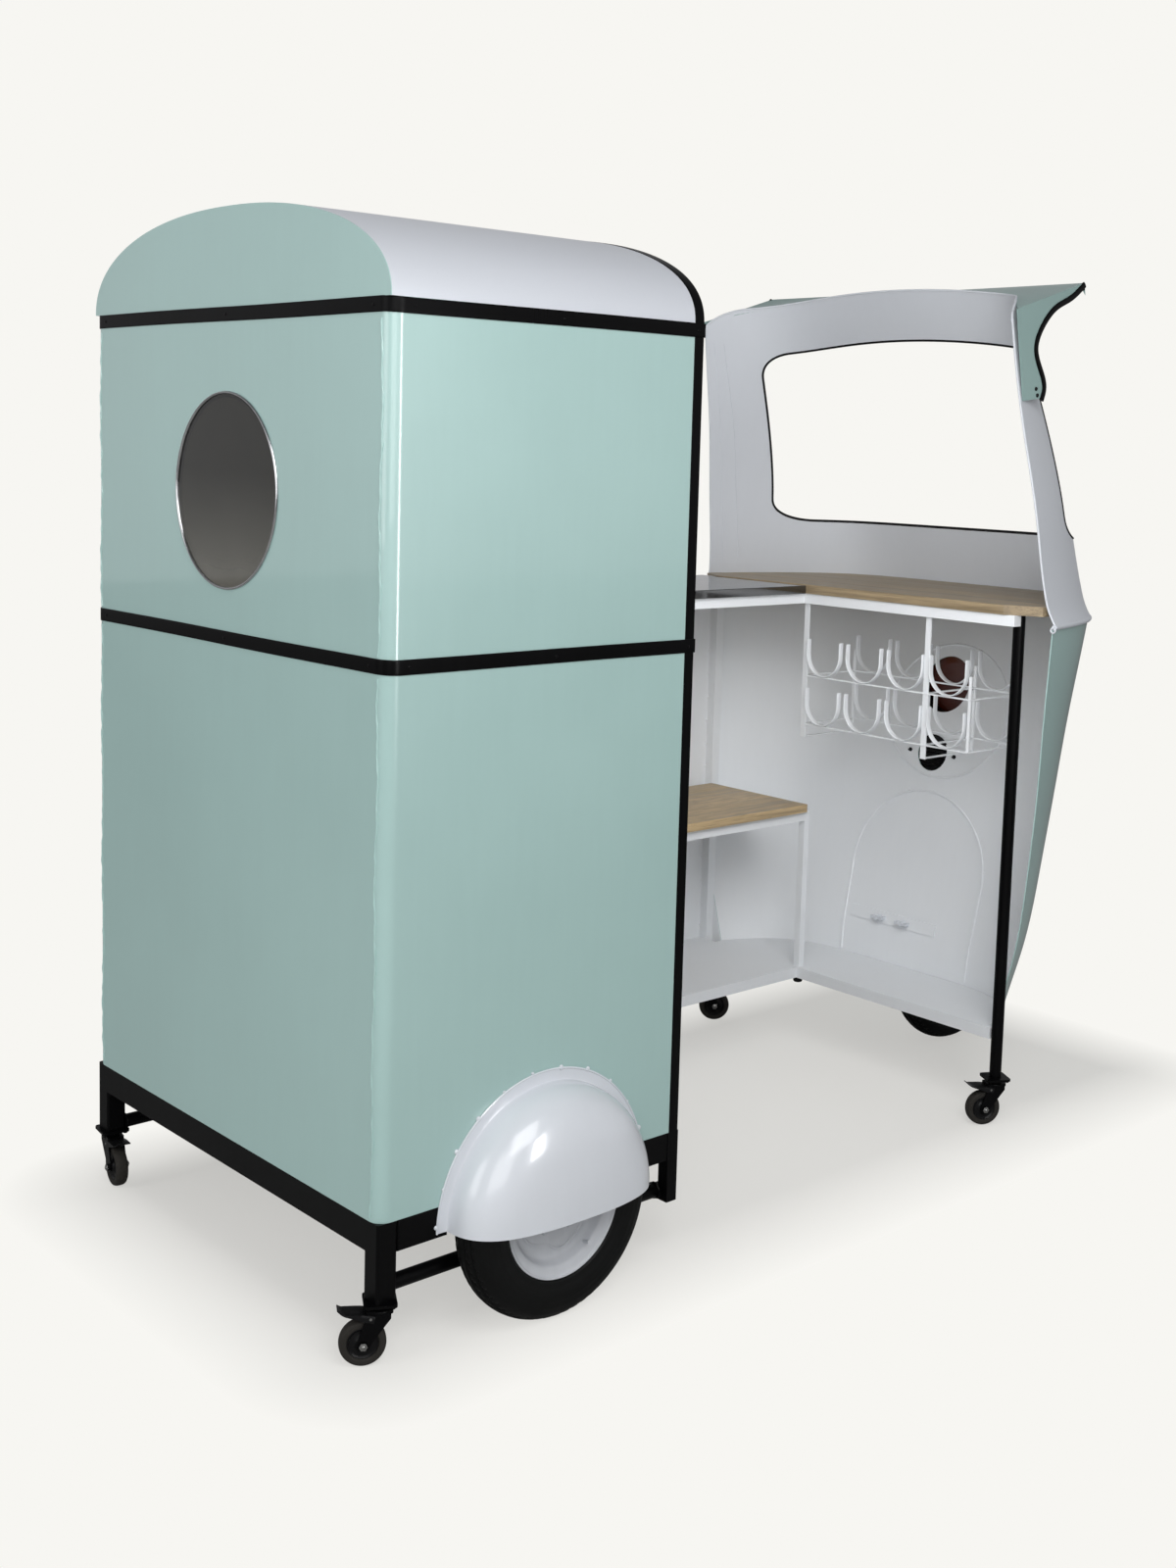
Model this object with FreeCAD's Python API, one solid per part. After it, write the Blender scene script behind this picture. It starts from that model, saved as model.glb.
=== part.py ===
import FreeCAD, Part
import math
import os

V = FreeCAD.Vector
os.makedirs("parts", exist_ok=True)

# Rear cabinet
CABINET_WIDTH = 1000.0
CABINET_DEPTH = 685.0
LEG_BOTTOM = 112.0
BASE_BOTTOM = 196.0
BASE_TOP = 250.0
REAR_LEG = 40.0
TUBE = 25.0
STRETCHER_RADIUS = 13.5
SHEET = 1.5
CORNER_RADIUS = 26.0
BAND_HEIGHT = 25.0
BAND_THICKNESS = 2.0
MID_BAND_BOTTOM = 1161.0
TOP_BAND_BOTTOM = 1732.0
ARCH_RISE = 173.0
ARCH_CORNER_RADIUS = 120.0
LOW_SHELF_Z = 700.0
SHELF_THICKNESS = 18.0
CLEAT = 20.0
FLOOR_PANEL = 12.0
PORTHOLE_Z = 1435.0
PORTHOLE_GLASS = 341.0
PORTHOLE_SLEEVE = 2.0
PORTHOLE_FLANGE = 3.5
PORTHOLE_LIP = 4.0
GLASS_THICKNESS = 4.0
GASKET_WIDTH = 6.0
POST_CLEARANCE = 0.3

# Road wheels and fenders
WHEEL_RADIUS = 203.0
TYRE_WIDTH = 80.0
RIM_RADIUS = 125.0
RIM_DROP = 13.0
RIM_WALL = 3.0
RIM_SLOPE = 4.0
DISC_SHEET = 4.0
STUD_RADIUS = 8.0
STUD_LENGTH = 14.0
STUD_CIRCLE = 47.0
STUD_COUNT = 5
TREAD_GROOVE = 4.0
AXLE_RADIUS = 8.0
HUB_RADIUS = 30.0
HUB_HALF = 24.0
RUNNING_FIT = 0.05
SIDE_GAP = 0.3
REAR_WHEEL_X = 355.0
WHEEL_STANDOFF = 25.0
WHEEL_CLEARANCE = 10.0
POCKET_DEPTH = 20.0
AXLE_BEAM = 40.0
FENDER_FLANGE = 21.5
FENDER_DEPTH = 113.0
MUDGUARD_HALF = 64.0
MUDGUARD_CLEARANCE = 13.0
MUDGUARD_SWEEP = 120.0
MUDGUARD_SHEET = 2.0
FORK_ARM = 8.0
FORK_ARM_Y = 52.0
FORK_EYE = 24.0

# Castors
CASTOR_WHEEL_RADIUS = 40.0
CASTOR_WHEEL_WIDTH = 24.0
CASTOR_TRAIL = 28.0
CASTOR_PLATE = 56.0
CASTOR_PLATE_THICKNESS = 5.0
CASTOR_CUP = 8.0
KINGPIN_RADIUS = 5.0
CASTOR_AXLE = 4.0
PEDAL_PIN_U = 16.0
PEDAL_PIN_DROP = 13.0
PEDAL_PIN = 2.5
PEDAL_REACH = 50.0
PEDAL_SHEET = 2.0
FORK_WALL = 3.0
FORK_ROOM = 2.0
CROWN_REAR = 22.0
CROWN_FRONT = 26.0
CROWN_STEP = 4.0

# Cab and counter
CHORD_X = 1743.0
POST_Y = 465.0
POST_RADIUS = 13.5
INNER_Y = 160.0
INNER_POST = 18.0
FLOOR_BEAM_BOTTOM = 199.0
FLOOR_SHEET = 2.0
LOW_SHELF_BEAM = 605.0
LOW_BOARD = 20.0
LOW_SHELF_OVERHANG = 14.0
COUNTER_BEAM_BOTTOM = 1158.0
COUNTER_THICKNESS = 22.0
COUNTER_OVERHANG = 6.0
COUNTER_CLEARANCE = 4.0
COUNTER_BOARD = 118.0
BOARD_GAP = 0.6
BEARER_YS = (-200.0, 120.0)
SLAB_THICKNESS = 20.0
SLAB_OVERHANG = 10.0
BOLT_RADIUS = 5.0
BOLT_ZS = (420.0, 760.0, 1100.0)

# Nose and windscreen frame
NOSE_HALF = 553.0
NOSE_DEPTH = 410.0
NOSE_POWER = 6.0
NOSE_SHEET = 2.5
NOSE_RISE = 6.0
LOFT_BACK = 80.0
LIP_HEIGHT = 12.0
LIP_WIDTH = 12.0
BEAD_HEIGHT = 10.0
BEAD_PROUD = 9.0
LAMP_Z = 945.0
LAMP_FRONT = 0.95
LAMP_HOLE = 142.0
LAMP_WALL = 6.0
HORN_Z = 770.0
HORN_HOLE = 90.0
HORN_RIM = 8.0
SLAT = 5.0
GRILLE_SEAT = 0.1
OPENING_HALF = 463.0
OPENING_TAPER = 0.89
OPENING_BOTTOM = 1347.0
OPENING_TOP = 1808.0
OPENING_RADIUS = 70.0
FRAME_TOP = 1922.0
FRAME_CROWN = 45.0
FRAME_CORNER = 105.0
CORNER_ROOM = 1.1
RUBBER = 3.0
VISOR_HALF = 480.0
VISOR_SHEET = 2.0
TRIM_WIDTH = 11.0
TRIM_HEIGHT = 20.0
BRACKET_Z = 338.0
BRACKET_HEIGHT = 30.0
BRACKET_SHEET = 4.0
BRACKET_YS = (-104.0, 168.0)
WING_NUT_YS = (-6.0, 72.0)
WING_NUT_RADIUS = 6.0

# Bottle rack
RACK_DEPTH = 188.0
STRIP_WIDTH = 15.0
STRIP = 3.0
CRADLE_RADIUS = 52.0
CRADLE_ARM = 36.0
CRADLE_PITCH = 127.0
CRADLE_COUNT = 4
FIRST_CRADLE_Y = 85.0
TIER_ZS = (857.0, 979.0)
HANGER_DROP = 32.0

HALF = CABINET_WIDTH / 2
FRONT = CABINET_DEPTH - TUBE
SPRINGING = TOP_BAND_BOTTOM + BAND_HEIGHT
SEAM_Z = MID_BAND_BOTTOM + BAND_HEIGHT / 2
NOSE_X = CHORD_X + TUBE / 2
NOSE_BOTTOM = FLOOR_BEAM_BOTTOM + NOSE_RISE
NOSE_TOP = COUNTER_BEAM_BOTTOM - SIDE_GAP * 10
FRAME_BASE = NOSE_TOP + BEAD_HEIGHT
FLOOR_Z = FLOOR_BEAM_BOTTOM + TUBE
COUNTER_Z = COUNTER_BEAM_BOTTOM + TUBE
REAR_WHEEL_Y = HALF + WHEEL_STANDOFF
POCKET_RADIUS = WHEEL_RADIUS + WHEEL_CLEARANCE
X = V(1, 0, 0)
Y = V(0, 1, 0)
Z = V(0, 0, 1)

# Lower body levels: share of the height, of the half width and of the depth
NOSE_LEVELS = [
    (0.0, 0.79, 0.483), (0.1, 0.84, 0.5), (0.2, 0.885, 0.549), (0.4, 0.93, 0.64),
    (0.59, 0.955, 0.73), (0.775, 0.968, 0.842), (0.9, 0.978, 0.93), (1.0, 0.987, 0.994),
]
# Windscreen frame levels: share of the height, backward lean, shares of half width and depth
FRAME_LEVELS = [
    (0.0, 0.0, 0.997, 1.003), (0.026, 1.0, 0.975, 0.994), (0.08, 6.0, 0.953, 0.98),
    (0.31, 31.0, 0.922, 0.91), (0.575, 66.0, 0.879, 0.796), (0.78, 95.0, 0.859, 0.594),
    (1.02, 121.0, 0.843, 0.404),
]
STATIONS = [-1, -0.94, -0.85, -0.72, -0.55, -0.35, -0.15, 0, 0.15, 0.35, 0.55, 0.72, 0.85, 0.94, 1]
# Sun visor corners and wing outlines: forward of the nose plane, above the frame top
VISOR_TIP = (190.0, 12.0)
VISOR_NOSE = (352.0, 28.0)
VISOR_ROOT = (-104.0, -66.0)
ROOT_NOSE = (20.0, -10.0)
WING_EDGE = [(138, -25), (87, -49), (42, -92), (18, -147), (42, -194), (57, -232), (49, -258)]
WING_BACK = [(21, -267), (-66, -267)]
# Brake pedal outlines: along the pedal from its pin, above the pin
PEDAL_LEVER = [(-6, -5), (3, -6), (PEDAL_REACH - 2, 6), (PEDAL_REACH, 10), (24, 10), (-5, 5)]
PEDAL_TREAD = [(20, 7), (PEDAL_REACH, 8.5), (PEDAL_REACH + 5, 13), (PEDAL_REACH + 3, 14.5),
               (PEDAL_REACH - 2, 11.5), (20, 10)]
pieces = {}


def box(x0, x1, y0, y1, z0, z1):
    return Part.makeBox(x1 - x0, y1 - y0, z1 - z0, V(x0, y0, z0))


def both(shape):
    """The shape and its mirror image in the middle plane."""
    return [shape, shape.mirror(V(0, 0, 0), Y)]


def fuse(shapes):
    return shapes[0].multiFuse(shapes[1:]).removeSplitter()


def cylinder(radius, length, base, axis):
    return Part.makeCylinder(radius, length, base, axis)


def segment(a, b):
    return Part.LineSegment(a, b).toShape()


def arc(a, b, c):
    return Part.Arc(a, b, c).toShape()


def smooth(points):
    curve = Part.BSplineCurve()
    curve.interpolate(points)
    return curve.toShape()


def face_of(points):
    return Part.Face(Part.makePolygon(points + [points[0]]))


def keep(name, shapes):
    """Store the solids of a node."""
    if not isinstance(shapes, list):
        shapes = [shapes]
    pieces[name] = [solid for shape in shapes for solid in shape.Solids]


def rounded_bar(x0, x1, y0, y1, z0, z1, radius):
    """An upright square bar with rounded edges."""
    bar = box(x0, x1, y0, y1, z0, z1)
    upright = [e for e in bar.Edges if abs(e.tangentAt(e.FirstParameter).z) > 0.99]
    return bar.makeFillet(radius, upright)


def hexagon(radius, depth, base, axis, side):
    across = axis.cross(side)
    turns = [math.radians(60 * k) for k in range(6)]
    points = [base + side * (radius * math.cos(t)) + across * (radius * math.sin(t)) for t in turns]
    return face_of(points).extrude(axis * depth)


def revolve(points, origin, axis, angle, along):
    """Solid of revolution; each point is (distance from the axis, distance along it)."""
    return face_of([origin + along * r + axis * w for r, w in points]).revolve(origin, axis, angle)


def wrap_edges(front, half, radius, rear):
    """Open U path round the rear of the cabinet."""
    cut = radius * (1 - math.sqrt(0.5))
    right = [V(front, -half, 0), V(rear + radius, -half, 0), V(rear + cut, cut - half, 0),
             V(rear, radius - half, 0)]
    left = [V(p.x, -p.y, 0) for p in right]
    return [segment(right[0], right[1]), arc(right[1], right[2], right[3]), segment(right[3], left[3]),
            arc(left[3], left[2], left[1]), segment(left[1], left[0])]


def wrap_sheet(front, offset, thickness, z0, z1):
    """Sheet bent round both rear corners; the offset is measured outward from the skin."""
    inset = offset - thickness
    edges = wrap_edges(front, HALF + offset, CORNER_RADIUS + offset, -offset)
    edges += wrap_edges(front, HALF + inset, CORNER_RADIUS + inset, -inset)
    edges += [segment(V(front, s * (HALF + offset), 0), V(front, s * (HALF + inset), 0)) for s in (-1, 1)]
    sheet = Part.Face(Part.Wire(Part.__sortEdges__(edges))).extrude(Z * (z1 - z0))
    sheet.translate(Z * z0)
    return sheet


def arch_face(x, inset):
    """Three-centred arch over the cabinet, closed along its springing line."""
    half = HALF - inset
    rise = ARCH_RISE - inset
    corner = ARCH_CORNER_RADIUS - inset
    crown = ((half - corner) ** 2 + rise ** 2 - corner ** 2) / (2 * (rise - corner))
    lean = math.atan2(half - corner, crown - rise)
    joint = V(x, -crown * math.sin(lean), SPRINGING + crown * (math.cos(lean) - 1) + rise)
    side = (math.pi / 2 - lean) / 2
    middle = V(x, corner * (1 - math.cos(side)) - half, SPRINGING + corner * math.sin(side))
    right = [V(x, -half, SPRINGING), middle, joint]
    left = [V(x, -p.y, p.z) for p in right]
    edges = [arc(*right), arc(joint, V(x, 0, SPRINGING + rise), left[2]), arc(*reversed(left)),
             segment(left[0], right[0])]
    return Part.Face(Part.Wire(edges))


def arch_band(x0, x1, depth):
    """Arched strip standing on the springing line."""
    outer = arch_face(x0, 0).extrude(X * (x1 - x0))
    return outer.cut(arch_face(x0 - 1, depth).extrude(X * (x1 - x0 + 2)))


# Chassis of the cabinet: corner legs, rails, round stretchers and the axle beam
notch = box(REAR_WHEEL_X - POCKET_RADIUS, REAR_WHEEL_X + POCKET_RADIUS, -HALF - 1, -HALF + POCKET_DEPTH,
            BASE_BOTTOM - 1, BASE_TOP + 1)
stretcher_y = HALF - POCKET_DEPTH - SHEET - STRETCHER_RADIUS
stretcher = cylinder(STRETCHER_RADIUS, CABINET_DEPTH - REAR_LEG,
                     V(REAR_LEG - 1, -stretcher_y, LEG_BOTTOM + STRETCHER_RADIUS), X)
chassis = both(rounded_bar(0, REAR_LEG, -HALF, -HALF + REAR_LEG, LEG_BOTTOM, BASE_TOP, REAR_LEG / 8))
chassis += both(box(FRONT, CABINET_DEPTH, -HALF, -HALF + TUBE, LEG_BOTTOM, BASE_TOP))
chassis += both(box(REAR_LEG - 1, FRONT, -HALF, -HALF + TUBE, BASE_BOTTOM, BASE_TOP).cut(notch))
chassis += both(stretcher)
chassis.append(box(0, TUBE, REAR_LEG * 0.8 - HALF, HALF - REAR_LEG * 0.8, BASE_BOTTOM, BASE_TOP))
chassis.append(box(FRONT, CABINET_DEPTH, TUBE - HALF, HALF - TUBE, BASE_BOTTOM, BASE_TOP))
beam = AXLE_BEAM / 2
chassis.append(box(REAR_WHEEL_X - beam, REAR_WHEEL_X + beam, POCKET_DEPTH - HALF, HALF - POCKET_DEPTH,
                   WHEEL_RADIUS - beam, BASE_BOTTOM + AXLE_BEAM))
rear_hub = V(REAR_WHEEL_X, -REAR_WHEEL_Y, WHEEL_RADIUS)
keep("cabinet_chassis", fuse(chassis).cut(cylinder(AXLE_RADIUS, 2 * REAR_WHEEL_Y, rear_hub, Y)))

# Green skins, the lower one with a pressed pocket behind each fender
lower = wrap_sheet(FRONT, 0, SHEET, BASE_TOP, SEAM_Z)
side_hub = V(REAR_WHEEL_X, -HALF, WHEEL_RADIUS)
above = box(0, CABINET_DEPTH, -HALF - 1, HALF + 1, BASE_TOP, SEAM_Z)
pocket = cylinder(POCKET_RADIUS, POCKET_DEPTH, side_hub, Y)
dish = cylinder(POCKET_RADIUS + SHEET, POCKET_DEPTH + SHEET, side_hub, Y).cut(pocket).common(above)
for hollow, wall in zip(both(pocket), both(dish)):
    lower = lower.cut(hollow).fuse(wall)
keep("lower_skin", lower.removeSplitter())
porthole = V(0, 0, PORTHOLE_Z)
glass_r = PORTHOLE_GLASS / 2
sleeve_r = glass_r + PORTHOLE_SLEEVE
flange_r = sleeve_r + PORTHOLE_FLANGE
upper = wrap_sheet(FRONT, 0, SHEET, SEAM_Z, SPRINGING)
keep("upper_skin", upper.cut(cylinder(sleeve_r, 4 * SHEET, porthole - X * SHEET, X)))
for name, z in (("mid_band", MID_BAND_BOTTOM), ("top_band", TOP_BAND_BOTTOM)):
    keep(name, wrap_sheet(CABINET_DEPTH, BAND_THICKNESS, BAND_THICKNESS, z, z + BAND_HEIGHT))
keep("rear_arch_panel", arch_face(0, 0).extrude(X * SHEET))
keep("roof_skin", arch_band(SHEET, FRONT, SHEET))

# Front portal, and the bolts that tie the counter arm to it
bolt_starts = [V(FRONT, HALF - TUBE / 2, z) for z in BOLT_ZS]
bolt_holes = Part.makeCompound([cylinder(BOLT_RADIUS, 2 * TUBE, p, X) for p in bolt_starts])
portal = both(box(FRONT, CABINET_DEPTH, -HALF, -HALF + TUBE, BASE_TOP, SPRINGING))
portal.append(arch_band(FRONT, CABINET_DEPTH, TUBE))
keep("front_portal", fuse(portal).cut(bolt_holes))
bolts = []
for p in bolt_starts:
    shank = cylinder(BOLT_RADIUS, 2 * TUBE, p, X)
    head = hexagon(1.9 * BOLT_RADIUS, 1.4 * BOLT_RADIUS, p, X * -1, Y)
    nut = hexagon(1.9 * BOLT_RADIUS, 1.6 * BOLT_RADIUS, p + X * (2 * TUBE), X, Y)
    bolts.append(fuse([head, shank, nut]))
keep("coupling_bolts", bolts)

# Hidden frame behind the skins, with cleats for the lower shelf
post_in = SHEET + (CORNER_RADIUS - SHEET) * (1 - math.sqrt(0.5)) + POST_CLEARANCE
post_out = post_in + TUBE
inside = HALF - SHEET
hidden = both(box(post_in, post_out, post_in - HALF, post_out - HALF, BASE_TOP, SPRINGING))
for z in (MID_BAND_BOTTOM, TOP_BAND_BOTTOM):
    hidden += both(box(post_out, FRONT, -inside, TUBE - inside, z, z + TUBE))
    hidden.append(box(SHEET, SHEET + TUBE, post_out - HALF, HALF - post_out, z, z + TUBE))
hidden += both(box(post_out, FRONT, -inside, CLEAT - inside, LOW_SHELF_Z - CLEAT, LOW_SHELF_Z))
keep("inner_frame", fuse(hidden))


def cabinet_panel(z, thickness):
    """Board that fills the cabinet and is notched round the rear posts."""
    notches = both(box(0, post_out, -HALF, post_out - HALF, z, z + thickness))
    return box(SHEET, FRONT, -inside, inside, z, z + thickness).cut(Part.makeCompound(notches))


keep("cabinet_floor", cabinet_panel(BASE_TOP, FLOOR_PANEL).cut(Part.makeCompound(both(pocket) + both(dish))))
keep("cabinet_shelves", [cabinet_panel(z, SHELF_THICKNESS) for z in (LOW_SHELF_Z, MID_BAND_BOTTOM + TUBE)])

# Porthole: plated rim with a sleeve, glass and rubber ring
depth = 2 * GLASS_THICKNESS
rim_points = [(glass_r, -PORTHOLE_LIP / 2), (glass_r + PORTHOLE_LIP / 2, -PORTHOLE_LIP),
              (flange_r - PORTHOLE_LIP / 2, -PORTHOLE_LIP), (flange_r, -PORTHOLE_LIP / 2), (flange_r, 0),
              (sleeve_r, 0), (sleeve_r, depth), (glass_r, depth)]
keep("porthole_rim", revolve(rim_points, porthole, X, 360, Z))
keep("porthole_glass", cylinder(glass_r, GLASS_THICKNESS, porthole, X))
ring_points = [(glass_r - GASKET_WIDTH, GLASS_THICKNESS), (glass_r, GLASS_THICKNESS), (glass_r, depth),
               (glass_r - GASKET_WIDTH * 0.7, depth)]
keep("porthole_gasket", revolve(ring_points, porthole, X, 360, Z))


def fender():
    """Half of a spun bowl with a flat flange, standing on the side of the cabinet."""
    wall = POCKET_RADIUS + SHEET
    shape = [(1.0, 0.035), (0.993, 0.25), (0.965, 0.425), (0.91, 0.585), (0.826, 0.725), (0.705, 0.84),
             (0.547, 0.92), (0.315, 0.982), (0.0, 1.0)]
    outer = [side_hub + V(wall * r, -FENDER_DEPTH * d, 0) for r, d in shape]
    reach = FENDER_DEPTH - SHEET
    inner = [side_hub + V(POCKET_RADIUS * r, -reach * d, 0) for r, d in shape]
    foot = [V(POCKET_RADIUS, 0, 0), V(wall + FENDER_FLANGE, 0, 0), V(wall + FENDER_FLANGE, -SHEET, 0),
            V(wall, -SHEET, 0)]
    foot = [side_hub + p for p in foot]
    chain = [inner[0]] + foot + [outer[0]]
    edges = [smooth(outer), segment(outer[-1], inner[-1]), smooth(inner)]
    edges += [segment(a, b) for a, b in zip(chain, chain[1:])]
    return Part.Face(Part.Wire(Part.__sortEdges__(edges))).revolve(side_hub, Y, -180)


for name, piece in zip(("right_fender", "left_fender"), both(fender())):
    keep(name, piece)

# Road wheels: pressed rim with a dished disc, hollow tyre with grooves


def rim(centre, side):
    """Rim, disc and hub in one; side is the outward direction along Y."""
    seat = RIM_RADIUS - RIM_DROP
    bead = TYRE_WIDTH * 0.39
    lip = TYRE_WIDTH * 0.43
    skin = seat - 2 * RIM_WALL
    bore = AXLE_RADIUS + RUNNING_FIT
    thin = DISC_SHEET
    slope = RIM_SLOPE
    edge = RIM_RADIUS - RIM_WALL
    points = [(bore, -HUB_HALF), (HUB_RADIUS, -HUB_HALF), (HUB_RADIUS, thin), (skin, -1.5 * thin),
              (skin, slope - lip), (edge, -lip), (RIM_RADIUS, -lip), (RIM_RADIUS, -bead),
              (seat, slope - bead), (seat, bead - slope), (RIM_RADIUS, bead), (RIM_RADIUS, lip), (edge, lip),
              (skin, lip - 2 * slope), (skin - 3.5 * thin, 1.5 * thin), (2 * HUB_RADIUS, 3 * thin),
              (HUB_RADIUS, 2 * thin), (HUB_RADIUS, HUB_HALF), (bore, HUB_HALF)]
    wheel = revolve(points, centre, Y * side, 360, Z)
    studs = []
    for k in range(STUD_COUNT):
        turn = math.radians(360 * k / STUD_COUNT)
        ray = V(math.sin(turn), 0, math.cos(turn))
        foot = centre + ray * STUD_CIRCLE + Y * (2 * thin * side)
        studs.append(hexagon(STUD_RADIUS, STUD_LENGTH, foot, Y * side, ray))
    return fuse([wheel] + studs)


def tyre(centre):
    """Hollow tyre; heights are shares of the section height above the rim."""
    seat = RIM_RADIUS - RIM_DROP
    tall = WHEEL_RADIUS - RIM_RADIUS
    half = TYRE_WIDTH / 2
    bead = TYRE_WIDTH * 0.39
    groove = TREAD_GROOVE
    rise = [(0.47, 1.0), (0.66, 0.95), (0.81, 0.8), (0.9, 0.62)]
    side = [(seat, bead - RIM_SLOPE), (RIM_RADIUS, bead)]
    side += [(RIM_RADIUS + tall * a, half * b) for a, b in rise]
    crown = RIM_RADIUS + tall * 0.95
    side += [(crown - groove, half * 0.58), (crown - groove, half * 0.46), (crown + 1, half * 0.42),
             (WHEEL_RADIUS, half * 0.17), (WHEEL_RADIUS - groove, half * 0.14)]
    hollow = [(0.3, 0.72), (0.68, 0.6), (0.82, 0.2)]
    inner = [(seat, bead * 0.55)] + [(RIM_RADIUS + tall * a, half * b) for a, b in hollow]
    ring = side + [(r, -w) for r, w in reversed(side)] + [(r, -w) for r, w in inner] + list(reversed(inner))
    return revolve(ring, centre, Y, 360, Z)


for name, centre, side in (("right", rear_hub, -1), ("left", V(rear_hub.x, -rear_hub.y, rear_hub.z), 1)):
    keep(name + "_rim", rim(centre, side))
    keep(name + "_tyre", tyre(centre))
front_hub = V(NOSE_X + NOSE_LEVELS[0][2] * NOSE_DEPTH + WHEEL_RADIUS + WHEEL_CLEARANCE, 0, WHEEL_RADIUS)
keep("front_rim", rim(front_hub, -1))
keep("front_tyre", tyre(front_hub))


def axle(x, reach):
    """Shaft along Y with a nut at each end; reach is where the nuts start."""
    nut = 1.4 * AXLE_RADIUS
    shaft = [cylinder(AXLE_RADIUS, 2 * (reach + nut), V(x, -reach - nut, WHEEL_RADIUS), Y)]
    for side in (-1, 1):
        shaft.append(hexagon(1.75 * AXLE_RADIUS, nut * 0.9, V(x, side * reach, WHEEL_RADIUS), Y * side, X))
    return fuse(shaft)


keep("rear_axle", axle(REAR_WHEEL_X, REAR_WHEEL_Y + HUB_HALF + SIDE_GAP))
keep("front_axle", axle(front_hub.x, FORK_ARM_Y + FORK_ARM))
arm_bar = box(NOSE_X, front_hub.x, FORK_ARM_Y, FORK_ARM_Y + FORK_ARM, FLOOR_BEAM_BOTTOM, FLOOR_Z)
arm_eye = cylinder(FORK_EYE, FORK_ARM, front_hub + Y * FORK_ARM_Y, Y)
fork = both(fuse([arm_bar, arm_eye]))
tie_x = NOSE_X + NOSE_DEPTH / 8
fork.append(box(tie_x, tie_x + 2 * TUBE, -FORK_ARM_Y, FORK_ARM_Y, FLOOR_BEAM_BOTTOM, FLOOR_Z))
fork = fuse(fork)
fork_bore = cylinder(AXLE_RADIUS, 4 * FORK_ARM_Y, front_hub - Y * (2 * FORK_ARM_Y), Y)
keep("front_fork", fork.cut(fork_bore))


def castor(x, y, degrees):
    """Plate, fork, wheel and pedal, drawn along U from the swivel axis and turned into place."""
    plate_z = LEG_BOTTOM - CASTOR_PLATE_THICKNESS
    cup_z = plate_z - CASTOR_CUP
    half = CASTOR_PLATE / 2
    head = KINGPIN_RADIUS * 0.8
    crown = FORK_WALL * 2
    pin = crown + 2 * SIDE_GAP + head
    mount = [rounded_bar(-half, half, -half, half, plate_z, LEG_BOTTOM, half / 4),
             cylinder(3 * KINGPIN_RADIUS, CASTOR_CUP, V(0, 0, cup_z), Z),
             cylinder(KINGPIN_RADIUS, pin, V(0, 0, cup_z - pin), Z),
             cylinder(1.8 * KINGPIN_RADIUS, head, V(0, 0, cup_z - pin), Z)]
    spots = [V(a * half * 0.72, b * half * 0.72, plate_z) for a in (-1, 1) for b in (-1, 1)]
    mount += [hexagon(half / 6, half / 8, p, Z * -1, X) for p in spots]

    top = cup_z - SIDE_GAP
    inner = CASTOR_WHEEL_WIDTH / 2 + FORK_ROOM
    outer = inner + FORK_WALL
    hub = V(CASTOR_TRAIL, 0, CASTOR_WHEEL_RADIUS)
    eye = 2.6 * CASTOR_AXLE
    step = CROWN_STEP
    low = top - crown
    plan = [(step - CROWN_REAR, low), (CROWN_FRONT - step, low), (CASTOR_TRAIL + eye, hub.z + step),
            (CASTOR_TRAIL + eye, hub.z - step / 2), (CASTOR_TRAIL - eye + step / 2, hub.z - step),
            (step - CROWN_REAR, low - 2 * step)]
    leg = face_of([V(u, inner, z) for u, z in plan]).extrude(Y * FORK_WALL)
    fork_parts = [rounded_bar(-CROWN_REAR, CROWN_FRONT, -outer, outer, low, top, crown),
                  cylinder(CASTOR_AXLE, 2 * outer, hub - Y * outer, Y)]
    fork_parts += both(leg) + both(cylinder(eye, FORK_WALL, hub + Y * inner, Y))
    fork_parts += both(hexagon(1.7 * CASTOR_AXLE, CASTOR_AXLE, hub + Y * outer, Y, X))
    pedal_pin = V(PEDAL_PIN_U, 0, cup_z - PEDAL_PIN_DROP)
    swivel = fuse(fork_parts)
    swivel = swivel.cut(cylinder(KINGPIN_RADIUS + RUNNING_FIT, 2 * crown, V(0, 0, top - 1.5 * crown), Z))
    swivel = swivel.cut(cylinder(PEDAL_PIN + RUNNING_FIT, 4 * outer, pedal_pin - Y * (2 * outer), Y))

    r = CASTOR_WHEEL_RADIUS
    w = CASTOR_WHEEL_WIDTH / 2
    bore = CASTOR_AXLE + RUNNING_FIT
    face = w + FORK_ROOM / 2
    half_profile = [(bore, face), (3 * CASTOR_AXLE, face), (3.5 * CASTOR_AXLE, w * 0.7), (r * 0.65, w * 0.7),
                    (r * 0.72, w), (r * 0.9, w), (r, w * 0.5)]
    profile = half_profile + [(a, -b) for a, b in reversed(half_profile)]
    roller = revolve(profile, hub, Y, 360, Z)

    cheek = outer + SIDE_GAP
    lever = face_of([pedal_pin + V(u, cheek, z) for u, z in PEDAL_LEVER]).extrude(Y * PEDAL_SHEET)
    wide = cheek + PEDAL_SHEET
    tread = face_of([pedal_pin + V(u, -wide, z) for u, z in PEDAL_TREAD]).extrude(Y * (2 * wide))
    pedal = fuse(both(lever) + [tread, cylinder(PEDAL_PIN, 2 * wide, pedal_pin - Y * wide, Y)])
    turned = []
    for piece in (fuse(mount), swivel, roller, pedal):
        piece.rotate(V(0, 0, 0), Z, degrees)
        piece.translate(V(x, y, 0))
        turned.append(piece)
    return turned


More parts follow.
